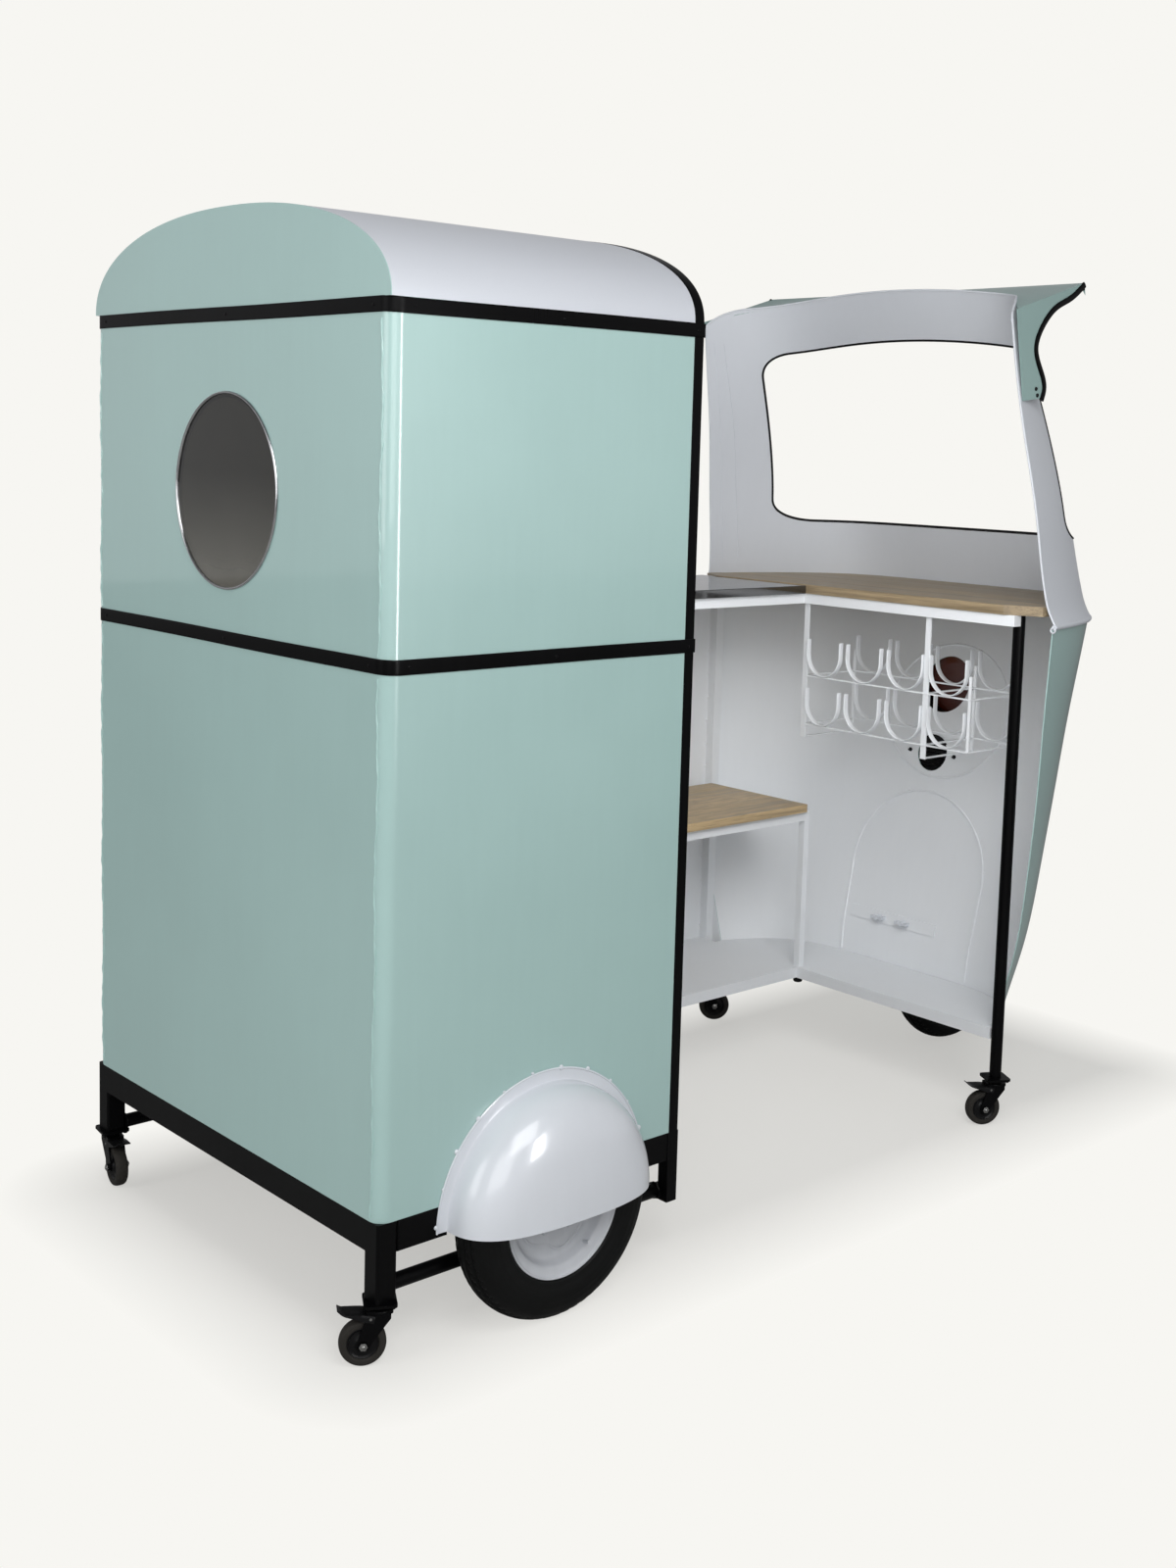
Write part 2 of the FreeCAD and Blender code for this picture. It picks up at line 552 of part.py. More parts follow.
black_x = NOSE_X - POST_RADIUS
CASTORS = {
    "rear_right": (REAR_LEG / 2, REAR_LEG / 2 - HALF, 150.0),
    "rear_left": (REAR_LEG / 2, HALF - REAR_LEG / 2, 262.0),
    "cab_right": (black_x, -POST_Y, 150.0),
    "cab_left": (CHORD_X, HALF - TUBE / 2, 320.0),
}
mounts = []
for name, spot in CASTORS.items():
    plate, fork_piece, roller, pedal = castor(*spot)
    mounts.append(plate)
    keep("castor_fork_" + name, fork_piece)
    keep("castor_wheel_" + name, roller)
    keep("castor_pedal_" + name, pedal)
keep("castor_plates", mounts)


def plan_wire(z, rear, half, depth, back):
    """Level of the cab: x = depth * (1 - |t| ** power), closed straight across or further back."""
    points = [V(rear + depth * (1 - abs(t) ** NOSE_POWER), half * t, z) for t in STATIONS]
    corners = [points[-1], points[0]]
    if back > 0:
        corners[1:1] = [V(rear - back, half, z), V(rear - back, -half, z)]
    return Part.Wire([smooth(points)] + [segment(a, b) for a, b in zip(corners, corners[1:])])


def nose_volume(offset, back):
    tall = NOSE_TOP - NOSE_BOTTOM
    wires = []
    for f, b, s in NOSE_LEVELS:
        half = NOSE_HALF * b + offset
        wires.append(plan_wire(NOSE_BOTTOM + tall * f, NOSE_X, half, NOSE_DEPTH * s + offset, back))
    return Part.makeLoft(wires, True, False)


def frame_volume(offset, back):
    tall = FRAME_TOP - FRAME_BASE
    wires = []
    for f, lean, b, s in FRAME_LEVELS:
        half = NOSE_HALF * b + offset
        wires.append(plan_wire(FRAME_BASE + tall * f, NOSE_X - lean, half, NOSE_DEPTH * s + offset, back))
    return Part.makeLoft(wires, True, False)


def plan_block(z, height, level, grow, back):
    """Upright block over the grown plan of a level."""
    half = NOSE_HALF * level[1] + grow
    depth = NOSE_DEPTH * level[2] + grow
    return Part.Face(plan_wire(z, NOSE_X, half, depth, back)).extrude(Z * height)


def plan_ring(z, height, level, grow, shrink):
    """Strip of even height that follows the plan of a level."""
    return plan_block(z, height, level, grow, 0).cut(plan_block(z, height, level, -shrink, TUBE))


# Nose shell with lamp and horn holes, and the black lip under it, both notched round the fork arms
nose_solid = nose_volume(0, LOFT_BACK)
nose_inner = nose_volume(-NOSE_SHEET, LOFT_BACK)
lamp = V(NOSE_X + NOSE_DEPTH / 2, 0, LAMP_Z)
horn = V(NOSE_X + NOSE_DEPTH / 2, 0, HORN_Z)
lamp_cut = cylinder(LAMP_HOLE / 2, NOSE_DEPTH, lamp, X)
horn_cut = cylinder(HORN_HOLE / 2, NOSE_DEPTH, horn, X)
keep("nose_shell", nose_volume(0, 0).cut(nose_inner).cut(lamp_cut).cut(horn_cut).cut(fork))
lip_z = NOSE_BOTTOM - LIP_HEIGHT
keep("nose_lip", plan_ring(lip_z, LIP_HEIGHT, NOSE_LEVELS[0], NOSE_SHEET, LIP_WIDTH).cut(fork))


def opening_prism(grow):
    """Windscreen opening as a prism along X, grown all round."""
    x = NOSE_X
    low = OPENING_HALF + grow
    high = OPENING_HALF * OPENING_TAPER + grow
    base = OPENING_BOTTOM - grow
    crown = OPENING_TOP + grow
    side = crown - OPENING_RADIUS / 2
    points = [V(x, -low, base), V(x, low, base), V(x, high, side), V(x, -high, side)]
    edges = [segment(points[0], points[1]), segment(points[1], points[2]),
             arc(points[2], V(x, 0, crown), points[3]), segment(points[3], points[0])]
    prism = Part.Face(Part.Wire(edges)).extrude(X * (2 * NOSE_DEPTH))
    along = [e for e in prism.Edges if abs(e.tangentAt(e.FirstParameter).x) > 0.99]
    return prism.makeFillet(OPENING_RADIUS + grow, along)


def crown_prism():
    """Region under the crowned top edge of the windscreen frame, as a prism along X."""
    x = NOSE_X - NOSE_DEPTH
    side = FRAME_TOP - FRAME_CROWN
    half = NOSE_HALF * FRAME_LEVELS[-2][2]
    low = box(x, x + 3 * NOSE_DEPTH, -2 * half, 2 * half, NOSE_TOP, side - CORNER_ROOM * FRAME_CORNER)
    foot = side - CORNER_ROOM * FRAME_CORNER
    points = [V(x, half, foot), V(x, half, side), V(x, -half, side), V(x, -half, foot)]
    edges = [segment(points[0], points[1]), arc(points[1], V(x, 0, FRAME_TOP), points[2]),
             segment(points[2], points[3]), segment(points[3], points[0])]
    cap = Part.Face(Part.Wire(edges)).extrude(X * (3 * NOSE_DEPTH))
    tips = [e for e in cap.Edges if e.BoundBox.ZMin > side - 1 and e.BoundBox.YLength < 1]
    return low.fuse(cap.makeFillet(FRAME_CORNER, tips))


# Windscreen frame: flared skirt on a rolled bead, crowned top, opening with a rubber edge
frame_solid = frame_volume(0, 3 * LOFT_BACK)
frame_inner = frame_volume(-NOSE_SHEET, LOFT_BACK)
hoop = frame_volume(0, 0).cut(frame_inner).common(crown_prism()).cut(opening_prism(0))
bead = plan_ring(NOSE_TOP, BEAD_HEIGHT, NOSE_LEVELS[-1], BEAD_PROUD, NOSE_SHEET)
keep("windscreen_frame", fuse([hoop, bead]))
edge_band = opening_prism(RUBBER).cut(opening_prism(-RUBBER))
edge_wall = frame_volume(RUBBER, 0).cut(frame_volume(-NOSE_SHEET - RUBBER, LOFT_BACK))
keep("windscreen_rubber", edge_wall.common(edge_band).cut(hoop))

# Sun visor: ruled top panel with two side wings, and the black trim on its edges


def from_top(y, ahead, above):
    """Point measured from the nose plane and the top of the windscreen frame."""
    return V(NOSE_X + ahead, y, FRAME_TOP + above)


visor_tip = from_top(VISOR_HALF, *VISOR_TIP)
visor_nose = from_top(0, *VISOR_NOSE)
visor_root = from_top(VISOR_HALF, *VISOR_ROOT)
root_nose = from_top(0, *ROOT_NOSE)


def visor_curve(side, middle, push):
    bow = [1 - t * t for t in STATIONS]
    return smooth([V(side.x + (middle.x - side.x) * b + push, side.y * t, side.z + (middle.z - side.z) * b)
                   for t, b in zip(STATIONS, bow)])


front_edge = visor_curve(visor_tip, visor_nose, 0)
panel = Part.makeRuledSurface(visor_curve(visor_root, root_nose, 0), front_edge).extrude(Z * VISOR_SHEET)
free_edge = [visor_tip] + [from_top(VISOR_HALF, *p) for p in WING_EDGE]
wing_top = [visor_root + Z * (VISOR_SHEET / 2), visor_tip + Z * (VISOR_SHEET / 2), visor_tip]
chain = [free_edge[-1]] + [from_top(VISOR_HALF, *p) for p in WING_BACK] + wing_top
wing = Part.Face(Part.Wire([smooth(free_edge)] + [segment(a, b) for a, b in zip(chain, chain[1:])]))
wing = wing.extrude(Y * -VISOR_SHEET)
visor = fuse([panel] + both(wing)).cut(frame_solid)
keep("sun_visor", visor)
push = V(TRIM_WIDTH, 0, -TRIM_WIDTH / 3)
outer_edge = [p + push for p in free_edge]
trim_wire = [smooth(free_edge), segment(free_edge[-1], outer_edge[-1]), smooth(outer_edge),
             segment(outer_edge[0], free_edge[0])]
wing_trim = Part.Face(Part.Wire(Part.__sortEdges__(trim_wire))).extrude(Y * -(VISOR_SHEET * 3))
wing_trim.translate(Y * VISOR_SHEET)
trim_edge = visor_curve(visor_tip, visor_nose, TRIM_WIDTH)
lip = Part.makeRuledSurface(front_edge, trim_edge).extrude(Z * TRIM_HEIGHT)
lip.translate(Z * -(TRIM_HEIGHT * 0.6))
keep("visor_trim", fuse([lip] + both(wing_trim)).cut(visor))

# Head lamp and horn grille on the front of the nose
lamp_r = LAMP_HOLE / 2 + LAMP_WALL
lamp_front = NOSE_X + LAMP_FRONT * NOSE_DEPTH
lamp_start = V(lamp_front - NOSE_DEPTH / 2, 0, LAMP_Z)
lamp_tube = cylinder(lamp_r + LAMP_WALL, NOSE_DEPTH / 2, lamp_start, X)
lamp_tube = lamp_tube.cut(cylinder(lamp_r, NOSE_DEPTH, lamp_start, X))
keep("headlamp_housing", lamp_tube.cut(nose_solid))
lens = [(0, 0), (0.38, -1.5), (0.72, -5.5), (1, -12), (1, -17), (0.7, -11), (0.36, -7.5), (0, -6)]
keep("headlamp_lens", revolve([(lamp_r * r, w) for r, w in lens], V(lamp_front, 0, LAMP_Z), X, 360, Z))
grille_r = HORN_HOLE / 2
grille = [cylinder(grille_r + HORN_RIM, NOSE_DEPTH, horn, X).cut(horn_cut)]
slat_zs = [HORN_Z - grille_r + SLAT * (2 * k + 0.7) for k in range(int(grille_r / SLAT))]
for z in slat_zs:
    half = math.sqrt(grille_r ** 2 - max(abs(z - HORN_Z), abs(z + SLAT - HORN_Z)) ** 2) + HORN_RIM / 2
    grille.append(box(horn.x, horn.x + NOSE_DEPTH, -half, half, z, z + SLAT))
seat = nose_volume(GRILLE_SEAT, LOFT_BACK)
keep("horn_grille", nose_volume(HORN_RIM, 0).cut(seat).common(fuse(grille)))

# Front mudguard, trimmed where it meets the nose
guard_r = WHEEL_RADIUS + MUDGUARD_CLEARANCE + MUDGUARD_SHEET
m = MUDGUARD_HALF
cheek = [(0.65, 0), (0.89, 0), (0.957, 0.09), (0.99, 0.27), (1, 0.5)]
guard_out = [(guard_r * r, m * w - m) for r, w in cheek]
guard_in = [(guard_r * r - MUDGUARD_SHEET, m * w - m + MUDGUARD_SHEET * (1 - w)) for r, w in cheek]
guard_in[0] = (guard_out[0][0], guard_in[0][1])
guard = guard_out + [(r, -w) for r, w in reversed(guard_out)]
guard += [(r, -w) for r, w in guard_in] + guard_in[::-1]
guard = revolve(guard, front_hub, Y, MUDGUARD_SWEEP, X * -1).cut(nose_solid).cut(fork)
keep("front_mudguard", guard.cut(plan_block(lip_z, LIP_HEIGHT, NOSE_LEVELS[0], NOSE_SHEET, LOFT_BACK)))

# White welded frame of the counter arm and the cab
arm_in = (INNER_Y - TUBE / 2, INNER_Y + TUBE / 2)
arm_out = (HALF - TUBE, HALF)
arm_x = CABINET_DEPTH
chord = (NOSE_X - TUBE, NOSE_X)
beam_x = NOSE_X - 2 * POST_RADIUS - TUBE
inner_post = (chord[1] - INNER_POST, chord[1], arm_in[0], arm_in[0] + INNER_POST)
white = []
for z in (FLOOR_BEAM_BOTTOM, LOW_SHELF_BEAM, COUNTER_BEAM_BOTTOM):
    white += [box(arm_x, chord[1], y[0], y[1], z, z + TUBE) for y in (arm_in, arm_out)]
    white.append(box(arm_x, arm_x + TUBE, arm_in[0], arm_out[1], z, z + TUBE))
white += [box(arm_x, arm_x + TUBE, y[0], y[1], FLOOR_BEAM_BOTTOM, COUNTER_Z) for y in (arm_in, arm_out)]
white.append(box(chord[0], chord[1], POST_RADIUS - POST_Y, arm_in[1], FLOOR_BEAM_BOTTOM, FLOOR_Z))
white.append(box(chord[0], chord[1], arm_in[0], arm_out[1], LOW_SHELF_BEAM, LOW_SHELF_BEAM + TUBE))
white.append(box(beam_x, beam_x + TUBE, -POST_Y - POST_RADIUS, arm_in[1], COUNTER_BEAM_BOTTOM, COUNTER_Z))
white.append(box(chord[0], chord[1], arm_out[0], arm_out[1], LEG_BOTTOM, COUNTER_Z))
white.append(box(*inner_post, FLOOR_BEAM_BOTTOM, LOW_SHELF_BEAM))
bearer_end = NOSE_X + NOSE_DEPTH * 0.85
for y in BEARER_YS:
    white.append(box(beam_x, bearer_end, y - TUBE / 2, y + TUBE / 2, COUNTER_BEAM_BOTTOM, COUNTER_Z))
keep("bar_frame", fuse(white).cut(bolt_holes))
black_post = cylinder(POST_RADIUS, COUNTER_Z - LEG_BOTTOM, V(black_x, -POST_Y, LEG_BOTTOM), Z)
keep("black_post", black_post)

# Floor sheet of the cab and the arm, notched round the posts
floor_top = FLOOR_Z + FLOOR_SHEET
cab_floor = box(chord[0], NOSE_X + NOSE_DEPTH, -NOSE_HALF, NOSE_HALF, FLOOR_Z, floor_top).common(nose_inner)
posts = [black_post, box(*inner_post, FLOOR_Z, floor_top), box(*chord, *arm_out, FLOOR_Z, floor_top)]
for post in posts:
    cab_floor = cab_floor.cut(post)
arm_floor = box(arm_x + TUBE, chord[0], arm_in[0], arm_out[1], FLOOR_Z, floor_top)
floor_sheet = cab_floor.fuse(arm_floor)
keep("floor_sheet", floor_sheet)

# Outer wall of the arm, with a strip that closes the step to the nose
wall = box(arm_x, NOSE_X, HALF, HALF + SHEET, FLOOR_BEAM_BOTTOM, COUNTER_Z)
strip = box(NOSE_X - SHEET, NOSE_X, HALF, 2 * HALF, NOSE_BOTTOM, NOSE_TOP).common(nose_solid)
keep("arm_wall", fuse([wall, strip]))

# Counter boards follow the inside of the windscreen frame and have cut corners
counter_x = beam_x - COUNTER_OVERHANG
counter_top = COUNTER_Z + COUNTER_THICKNESS
counter = box(counter_x, NOSE_X + 2 * NOSE_DEPTH, -2 * HALF, 2 * HALF, COUNTER_Z, counter_top)
counter = counter.common(frame_volume(-NOSE_SHEET - COUNTER_CLEARANCE, LOFT_BACK))
cut_y = POST_Y - POST_RADIUS
corner = face_of([V(counter_x, -cut_y, COUNTER_Z), V(counter_x, -2 * HALF, COUNTER_Z),
                  V(NOSE_X + TUBE, -2 * HALF, COUNTER_Z), V(NOSE_X, -NOSE_HALF, COUNTER_Z)])
corner = corner.extrude(Z * COUNTER_THICKNESS)
counter = counter.cut(Part.makeCompound(both(corner)))
boards = []
for k in range(int((NOSE_X + NOSE_DEPTH - counter_x) / COUNTER_BOARD) + 1):
    start = counter_x + k * COUNTER_BOARD
    plank = box(start, start + COUNTER_BOARD - BOARD_GAP, -2 * HALF, 2 * HALF, COUNTER_Z, counter_top)
    boards += counter.common(plank).Solids
keep("counter_boards", boards)

# Lower shelf boards and the black slab on the arm
low_z = LOW_SHELF_BEAM + TUBE
shelf_y = arm_in[0] - LOW_SHELF_OVERHANG
board = (arm_out[0] - shelf_y) / 3
keep("shelf_boards", [box(arm_x + TUBE, chord[0], shelf_y + board * k, shelf_y + board * (k + 1) - BOARD_GAP,
                          low_z, low_z + LOW_BOARD) for k in range(3)])
slab = box(arm_x, counter_x - BOARD_GAP, arm_in[0] - SLAB_OVERHANG, HALF + SHEET, COUNTER_Z,
           COUNTER_Z + SLAB_THICKNESS)
keep("slab_top", slab.makeFillet(SHEET, [e for e in slab.Edges if e.BoundBox.ZMin > COUNTER_Z + SHEET]))

# Bottle rack hung under the counter beam
rack_x = beam_x + TUBE / 2
rack_rear = rack_x + RACK_DEPTH
cradle_ys = [FIRST_CRADLE_Y - CRADLE_PITCH * k for k in range(CRADLE_COUNT)]
rack_end = cradle_ys[-1] - CRADLE_PITCH / 2
hanger_ys = (cradle_ys[0] + CRADLE_RADIUS + (STRIP + STRIP_WIDTH) / 2, cradle_ys[2] - CRADLE_PITCH / 2)
thin = STRIP_WIDTH / 4
rack_low = TIER_ZS[0] - STRIP
foot_z = rack_low - HANGER_DROP
rails = []
for y in hanger_ys:
    rails.append(box(rack_x - STRIP / 2, rack_x + STRIP / 2, y - 2 * thin, y + 2 * thin, foot_z,
                     COUNTER_BEAM_BOTTOM))
    rails.append(box(rack_x, rack_rear + thin, y - thin, y + thin, foot_z, foot_z + STRIP))
for z in TIER_ZS:
    for x in (rack_x, rack_rear):
        rails.append(box(x - thin, x + thin, rack_end - thin, hanger_ys[0] + thin, z - STRIP, z))
    rails += [box(rack_x, rack_rear, y - thin, y + thin, z - STRIP, z) for y in (rack_end,) + hanger_ys]
end_top = TIER_ZS[-1] + CRADLE_RADIUS
rails.append(box(rack_x - STRIP / 2, rack_x + STRIP / 2, rack_end - thin, rack_end + thin, rack_low, end_top))
for y in (rack_end,) + hanger_ys:
    rails.append(box(rack_rear - STRIP / 2, rack_rear + STRIP / 2, y - thin, y + thin, foot_z, end_top))
keep("rack_frame", fuse(rails))


def cradle(x, y, z):
    """Flat strip bent to a U that stands on the tier at height z."""
    r = CRADLE_RADIUS + STRIP / 2
    q = CRADLE_RADIUS - STRIP / 2
    middle = z + r
    top = middle + CRADLE_ARM
    edges = [segment(V(x, y - r, top), V(x, y - r, middle)),
             arc(V(x, y - r, middle), V(x, y, z), V(x, y + r, middle)),
             segment(V(x, y + r, middle), V(x, y + r, top)), segment(V(x, y + r, top), V(x, y + q, top)),
             segment(V(x, y + q, top), V(x, y + q, middle)),
             arc(V(x, y + q, middle), V(x, y, z + STRIP), V(x, y - q, middle)),
             segment(V(x, y - q, middle), V(x, y - q, top)), segment(V(x, y - q, top), V(x, y - r, top))]
    return Part.Face(Part.Wire(edges)).extrude(X * STRIP_WIDTH)


keep("bottle_cradles", [cradle(x - STRIP_WIDTH / 2, y, z)
                        for z in TIER_ZS for x in (rack_x, rack_rear) for y in cradle_ys])

# Bracket strip on the inside of the nose with two wing nuts
zone = box(NOSE_X, NOSE_X + NOSE_DEPTH, BRACKET_YS[0], BRACKET_YS[1], BRACKET_Z - BRACKET_HEIGHT / 2,
           BRACKET_Z + BRACKET_HEIGHT / 2)
bracket_inner = nose_volume(-NOSE_SHEET - BRACKET_SHEET, LOFT_BACK)
keep("wing_nut_bracket", nose_inner.cut(bracket_inner).common(zone))
nut_r = WING_NUT_RADIUS
nut_shell = bracket_inner.cut(nose_volume(-NOSE_SHEET - BRACKET_SHEET - 3 * nut_r, 2 * LOFT_BACK))
nuts = []
for y in WING_NUT_YS:
    ears = face_of([V(NOSE_X, y + a * nut_r, BRACKET_Z + b * nut_r) for a, b in
                    ((-3, 0.6), (-1, 0.3), (1, 0.3), (3, 0.6), (3, -0.6), (1, -0.3), (-1, -0.3), (-3, -0.6))])
    nuts.append(nut_shell.common(fuse([cylinder(nut_r, NOSE_DEPTH, V(NOSE_X, y, BRACKET_Z), X),
                                       ears.extrude(X * NOSE_DEPTH)])))
keep("wing_nuts", nuts)

# The origin is on the floor in the middle of the plan
rear_end = min(v.Point.x for v in pieces["castor_pedal_rear_right"][0].Vertexes)
shift = X * (-(rear_end + front_hub.x + WHEEL_RADIUS) / 2)
for name, solids in pieces.items():
    for solid in solids:
        solid.translate(shift)
    whole = solids[0] if len(solids) == 1 else Part.makeCompound(solids)
    whole.exportStep("parts/" + name + ".step")
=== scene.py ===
import logging
import math
from dataclasses import dataclass
from enum import Enum
from functools import cached_property

import bmesh
import bpy
import numpy as np
from mathutils import Matrix, Vector


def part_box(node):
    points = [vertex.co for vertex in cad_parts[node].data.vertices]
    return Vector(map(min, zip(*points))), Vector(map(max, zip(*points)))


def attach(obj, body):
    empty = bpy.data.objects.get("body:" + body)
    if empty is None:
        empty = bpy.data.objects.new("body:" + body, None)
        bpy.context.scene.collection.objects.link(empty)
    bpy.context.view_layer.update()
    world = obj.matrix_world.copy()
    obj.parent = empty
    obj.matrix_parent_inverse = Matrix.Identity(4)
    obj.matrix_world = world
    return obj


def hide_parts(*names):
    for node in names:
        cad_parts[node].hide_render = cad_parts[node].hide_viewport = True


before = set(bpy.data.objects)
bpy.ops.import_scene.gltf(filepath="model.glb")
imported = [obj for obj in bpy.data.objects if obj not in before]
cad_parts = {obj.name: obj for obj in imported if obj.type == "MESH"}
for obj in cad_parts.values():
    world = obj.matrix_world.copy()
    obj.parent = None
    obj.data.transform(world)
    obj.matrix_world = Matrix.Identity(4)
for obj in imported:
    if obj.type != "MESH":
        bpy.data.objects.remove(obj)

LOG = logging.getLogger("bar")
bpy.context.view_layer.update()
REAR_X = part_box("rear_arch_panel")[0].x
MM = 0.001
FULL, HALF, QUARTER = 2 * math.pi, math.pi, math.pi / 2
Array = np.ndarray
Point = tuple[float, float, float]
X_AXIS, Y_AXIS, Z_AXIS = np.eye(3)


class Side(Enum):
    """Side of the bar, as the sign of Y."""

    RIGHT = -1
    LEFT = 1


# Meshes


@dataclass
class Patch:
    """Grid surface: points in millimetres from the cabinet's rear face, quads and a finish number."""

    points: Array
    faces: Array
    tint: int = 0


def to_row(points: Array) -> Array:
    """Millimetres from the cabinet's rear face to metres in the frame of the CAD.

    Args:
        points: array of points whose last axis is x, y, z.

    Returns:
        The same points in metres, moved along X.
    """
    return points * MM + np.array([REAR_X, 0.0, 0.0])


def unit(vectors: Array) -> Array:
    """Vectors brought to length one along the last axis."""
    return vectors / np.maximum(np.linalg.norm(vectors, axis=-1, keepdims=True), 1e-12)


def xyz(x: Array | float, y: Array | float, z: Array | float) -> Array:
    """Points from three coordinates, each a number or an array, spread to one shape."""
    return np.stack(np.broadcast_arrays(x, y, z), axis=-1)


def chord(line: Array) -> Array:
    """Distance run along a line at each of its points."""
    return np.concatenate([[0], np.cumsum(np.linalg.norm(np.diff(line, axis=0), axis=1))])


def mirrored(line: list) -> Array:
    """Line followed by its mirror image, whose second coordinate has the other sign, run backwards."""
    first = np.asarray(line, float)
    return np.concatenate([first, first[::-1] * (1, -1)])


def between(a: Array, b: Array, count: int) -> Array:
    """Points evenly set from a to b."""
    share = np.linspace(0, 1, count)[:, None]
    return np.asarray(a, float) * (1 - share) + np.asarray(b, float) * share


def grid(points: Array, inside: Point | None = None, tint: int = 0) -> Patch:
    """Quads between neighbouring points of a rows by columns array.

    Args:
        points: array of shape rows, columns, 3.
        inside: a point that the faces turn away from; without it, the middle of the points.
        tint: number of the piece's finish.

    Returns:
        The patch, with its faces outwards.
    """
    rows, cols = points.shape[:2]
    index = np.arange(rows * cols).reshape(rows, cols)
    corners = [index[:-1, :-1], index[:-1, 1:], index[1:, 1:], index[1:, :-1]]
    faces = np.stack(corners, axis=-1).reshape(-1, 4)
    flat = points.reshape(-1, 3)
    a, b, c, d = (flat[faces[:, k]] for k in range(4))
    centre = flat.mean(axis=0) if inside is None else np.array(inside)
    outward = np.cross(c - a, d - b) * ((a + b + c + d) / 4 - centre)
    if outward.sum() < 0:
        faces = faces[:, ::-1]
    return Patch(flat, faces, tint)


def spline(knots: Array, values: Array, at: Array) -> Array:
    """Natural cubic spline: second derivatives come from one linear system over the knots.

    Args:
        knots: rising parameters, one for each value.
        values: array of knots by dimensions.
        at: parameters to evaluate.

    Returns:
        Values at the parameters.
    """
    step, size = np.diff(knots), len(knots)
    system, right = np.eye(size), np.zeros_like(values)
    inner = np.arange(1, size - 1)
    system[inner, inner - 1] = step[:-1]
    system[inner, inner] = 2 * (step[:-1] + step[1:])
    system[inner, inner + 1] = step[1:]
    right[1:-1] = 6 * np.diff(np.diff(values, axis=0) / step[:, None], axis=0)
    bend = np.linalg.solve(system, right)
    k = np.clip(np.searchsorted(knots, at) - 1, 0, size - 2)
    h = step[k][..., None]
    u = (at - knots[k])[..., None]
    w = (knots[k + 1] - at)[..., None]
    curve = (bend[k] * w ** 3 + bend[k + 1] * u ** 3) / (6 * h)
    return curve + (values[k] / h - bend[k] * h / 6) * w + (values[k + 1] / h - bend[k + 1] * h / 6) * u


def smooth_line(points: list, count: int) -> Array:
    """Spline through a few points, with the chord length as its parameter.

    Args:
        points: the points to pass.
        count: number of points on the new line.

    Returns:
        Array of count points.
    """
    knots = np.asarray(points, float)
    run = chord(knots)
    return spline(run, knots, np.linspace(0, run[-1], count))


def soften(points: list, rounds: int = 2, share: float = 0.2, closed: bool = False) -> Array:
    """Corners cut off and cut again, which tends to a smooth outline.

    Args:
        points: outline, with sharp corners.
        rounds: number of times that each corner is cut.
        share: part of each run that a cut takes.
        closed: True where the last point joins the first.

    Returns:
        The outline with rounded corners.
    """
    line = np.asarray(points, float)
    for _ in range(rounds):
        after = np.roll(line, -1, axis=0) if closed else line[1:]
        before = line if closed else line[:-1]
        cut = np.stack([before + (after - before) * share, after + (before - after) * share], axis=1)
        cut = cut.reshape(-1, line.shape[1])
        line = cut if closed else np.concatenate([line[:1], cut[1:-1], line[-1:]])
    return line


def circle(radius: float, count: int = 12) -> Array:
    """Closed round profile."""
    turn = np.linspace(0, FULL, count + 1)
    return np.stack([radius * np.cos(turn), radius * np.sin(turn)], axis=1)


def strip_profile(width: float, height: float, share: float = 0.12) -> Array:
    """Closed rectangle with its corners rounded.

    Args:
        width: size across the path.
        height: size towards up.
        share: part of each side that a corner takes.

    Returns:
        Closed profile.
    """
    a, b = width / 2, height / 2
    ring = soften([(-a, -b), (a, -b), (a, b), (-a, b)], 2, share, True)
    return np.concatenate([ring, ring[:1]])


def sweep(path: Array, profile: Array, up: Array, loop: bool = False, swell: Array | float = 1.0) -> Patch:
    """Profile carried along a path: each point is the path plus side times a plus rise times b.

    Args:
        path: points of the centreline.
        profile: closed outline, with a across the path and b towards up.
        up: direction, or one for each path point, that b leans to.
        loop: True where the path comes back to its start.
        swell: size of the profile, or one for each path point.

    Returns:
        A closed tube, with its ends drawn together unless it is a loop.
    """
    ahead = np.roll(path[:-1], -1, axis=0) - np.roll(path[:-1], 1, axis=0) if loop else None
    along = unit(np.concatenate([ahead, ahead[:1]]) if loop else np.gradient(path, axis=0))
    side = unit(np.cross(along, np.broadcast_to(up, path.shape)))
    rise = np.cross(side, along)
    local = profile[None] * np.broadcast_to(swell, len(path))[:, None, None]
    tube = path[:, None] + side[:, None] * local[..., :1] + rise[:, None] * local[..., 1:]
    if not loop:
        ends = [np.broadcast_to(path[k], tube[:1].shape) for k in (0, -1)]
        tube = np.concatenate([ends[0], tube, ends[1]])
    return grid(tube)


def lathe(profile: Array, centre: Point, axis: Array, steps: int = 48, tint: int = 0) -> Patch:
    """Profile turned about an axis: centre plus radius times the turning ray plus height along the axis.

    Args:
        profile: points of radius and height.
        centre: point on the axis where the height is zero.
        axis: direction of the axis.
        steps: number of divisions of the turn.
        tint: number of the piece's finish.

    Returns:
        The turned surface.
    """
    profile = np.asarray(profile, float)
    axis = unit(np.asarray(axis, float))
    first = unit(np.cross(axis, Z_AXIS if abs(axis[2]) < 0.9 else X_AXIS))
    angle = np.linspace(0, FULL, steps + 1)[:, None]
    ray = np.cos(angle) * first + np.sin(angle) * np.cross(axis, first)
    return grid(np.asarray(centre) + ray[:, None] * profile[None, :, :1] + axis * profile[None, :, 1:], tint=tint)


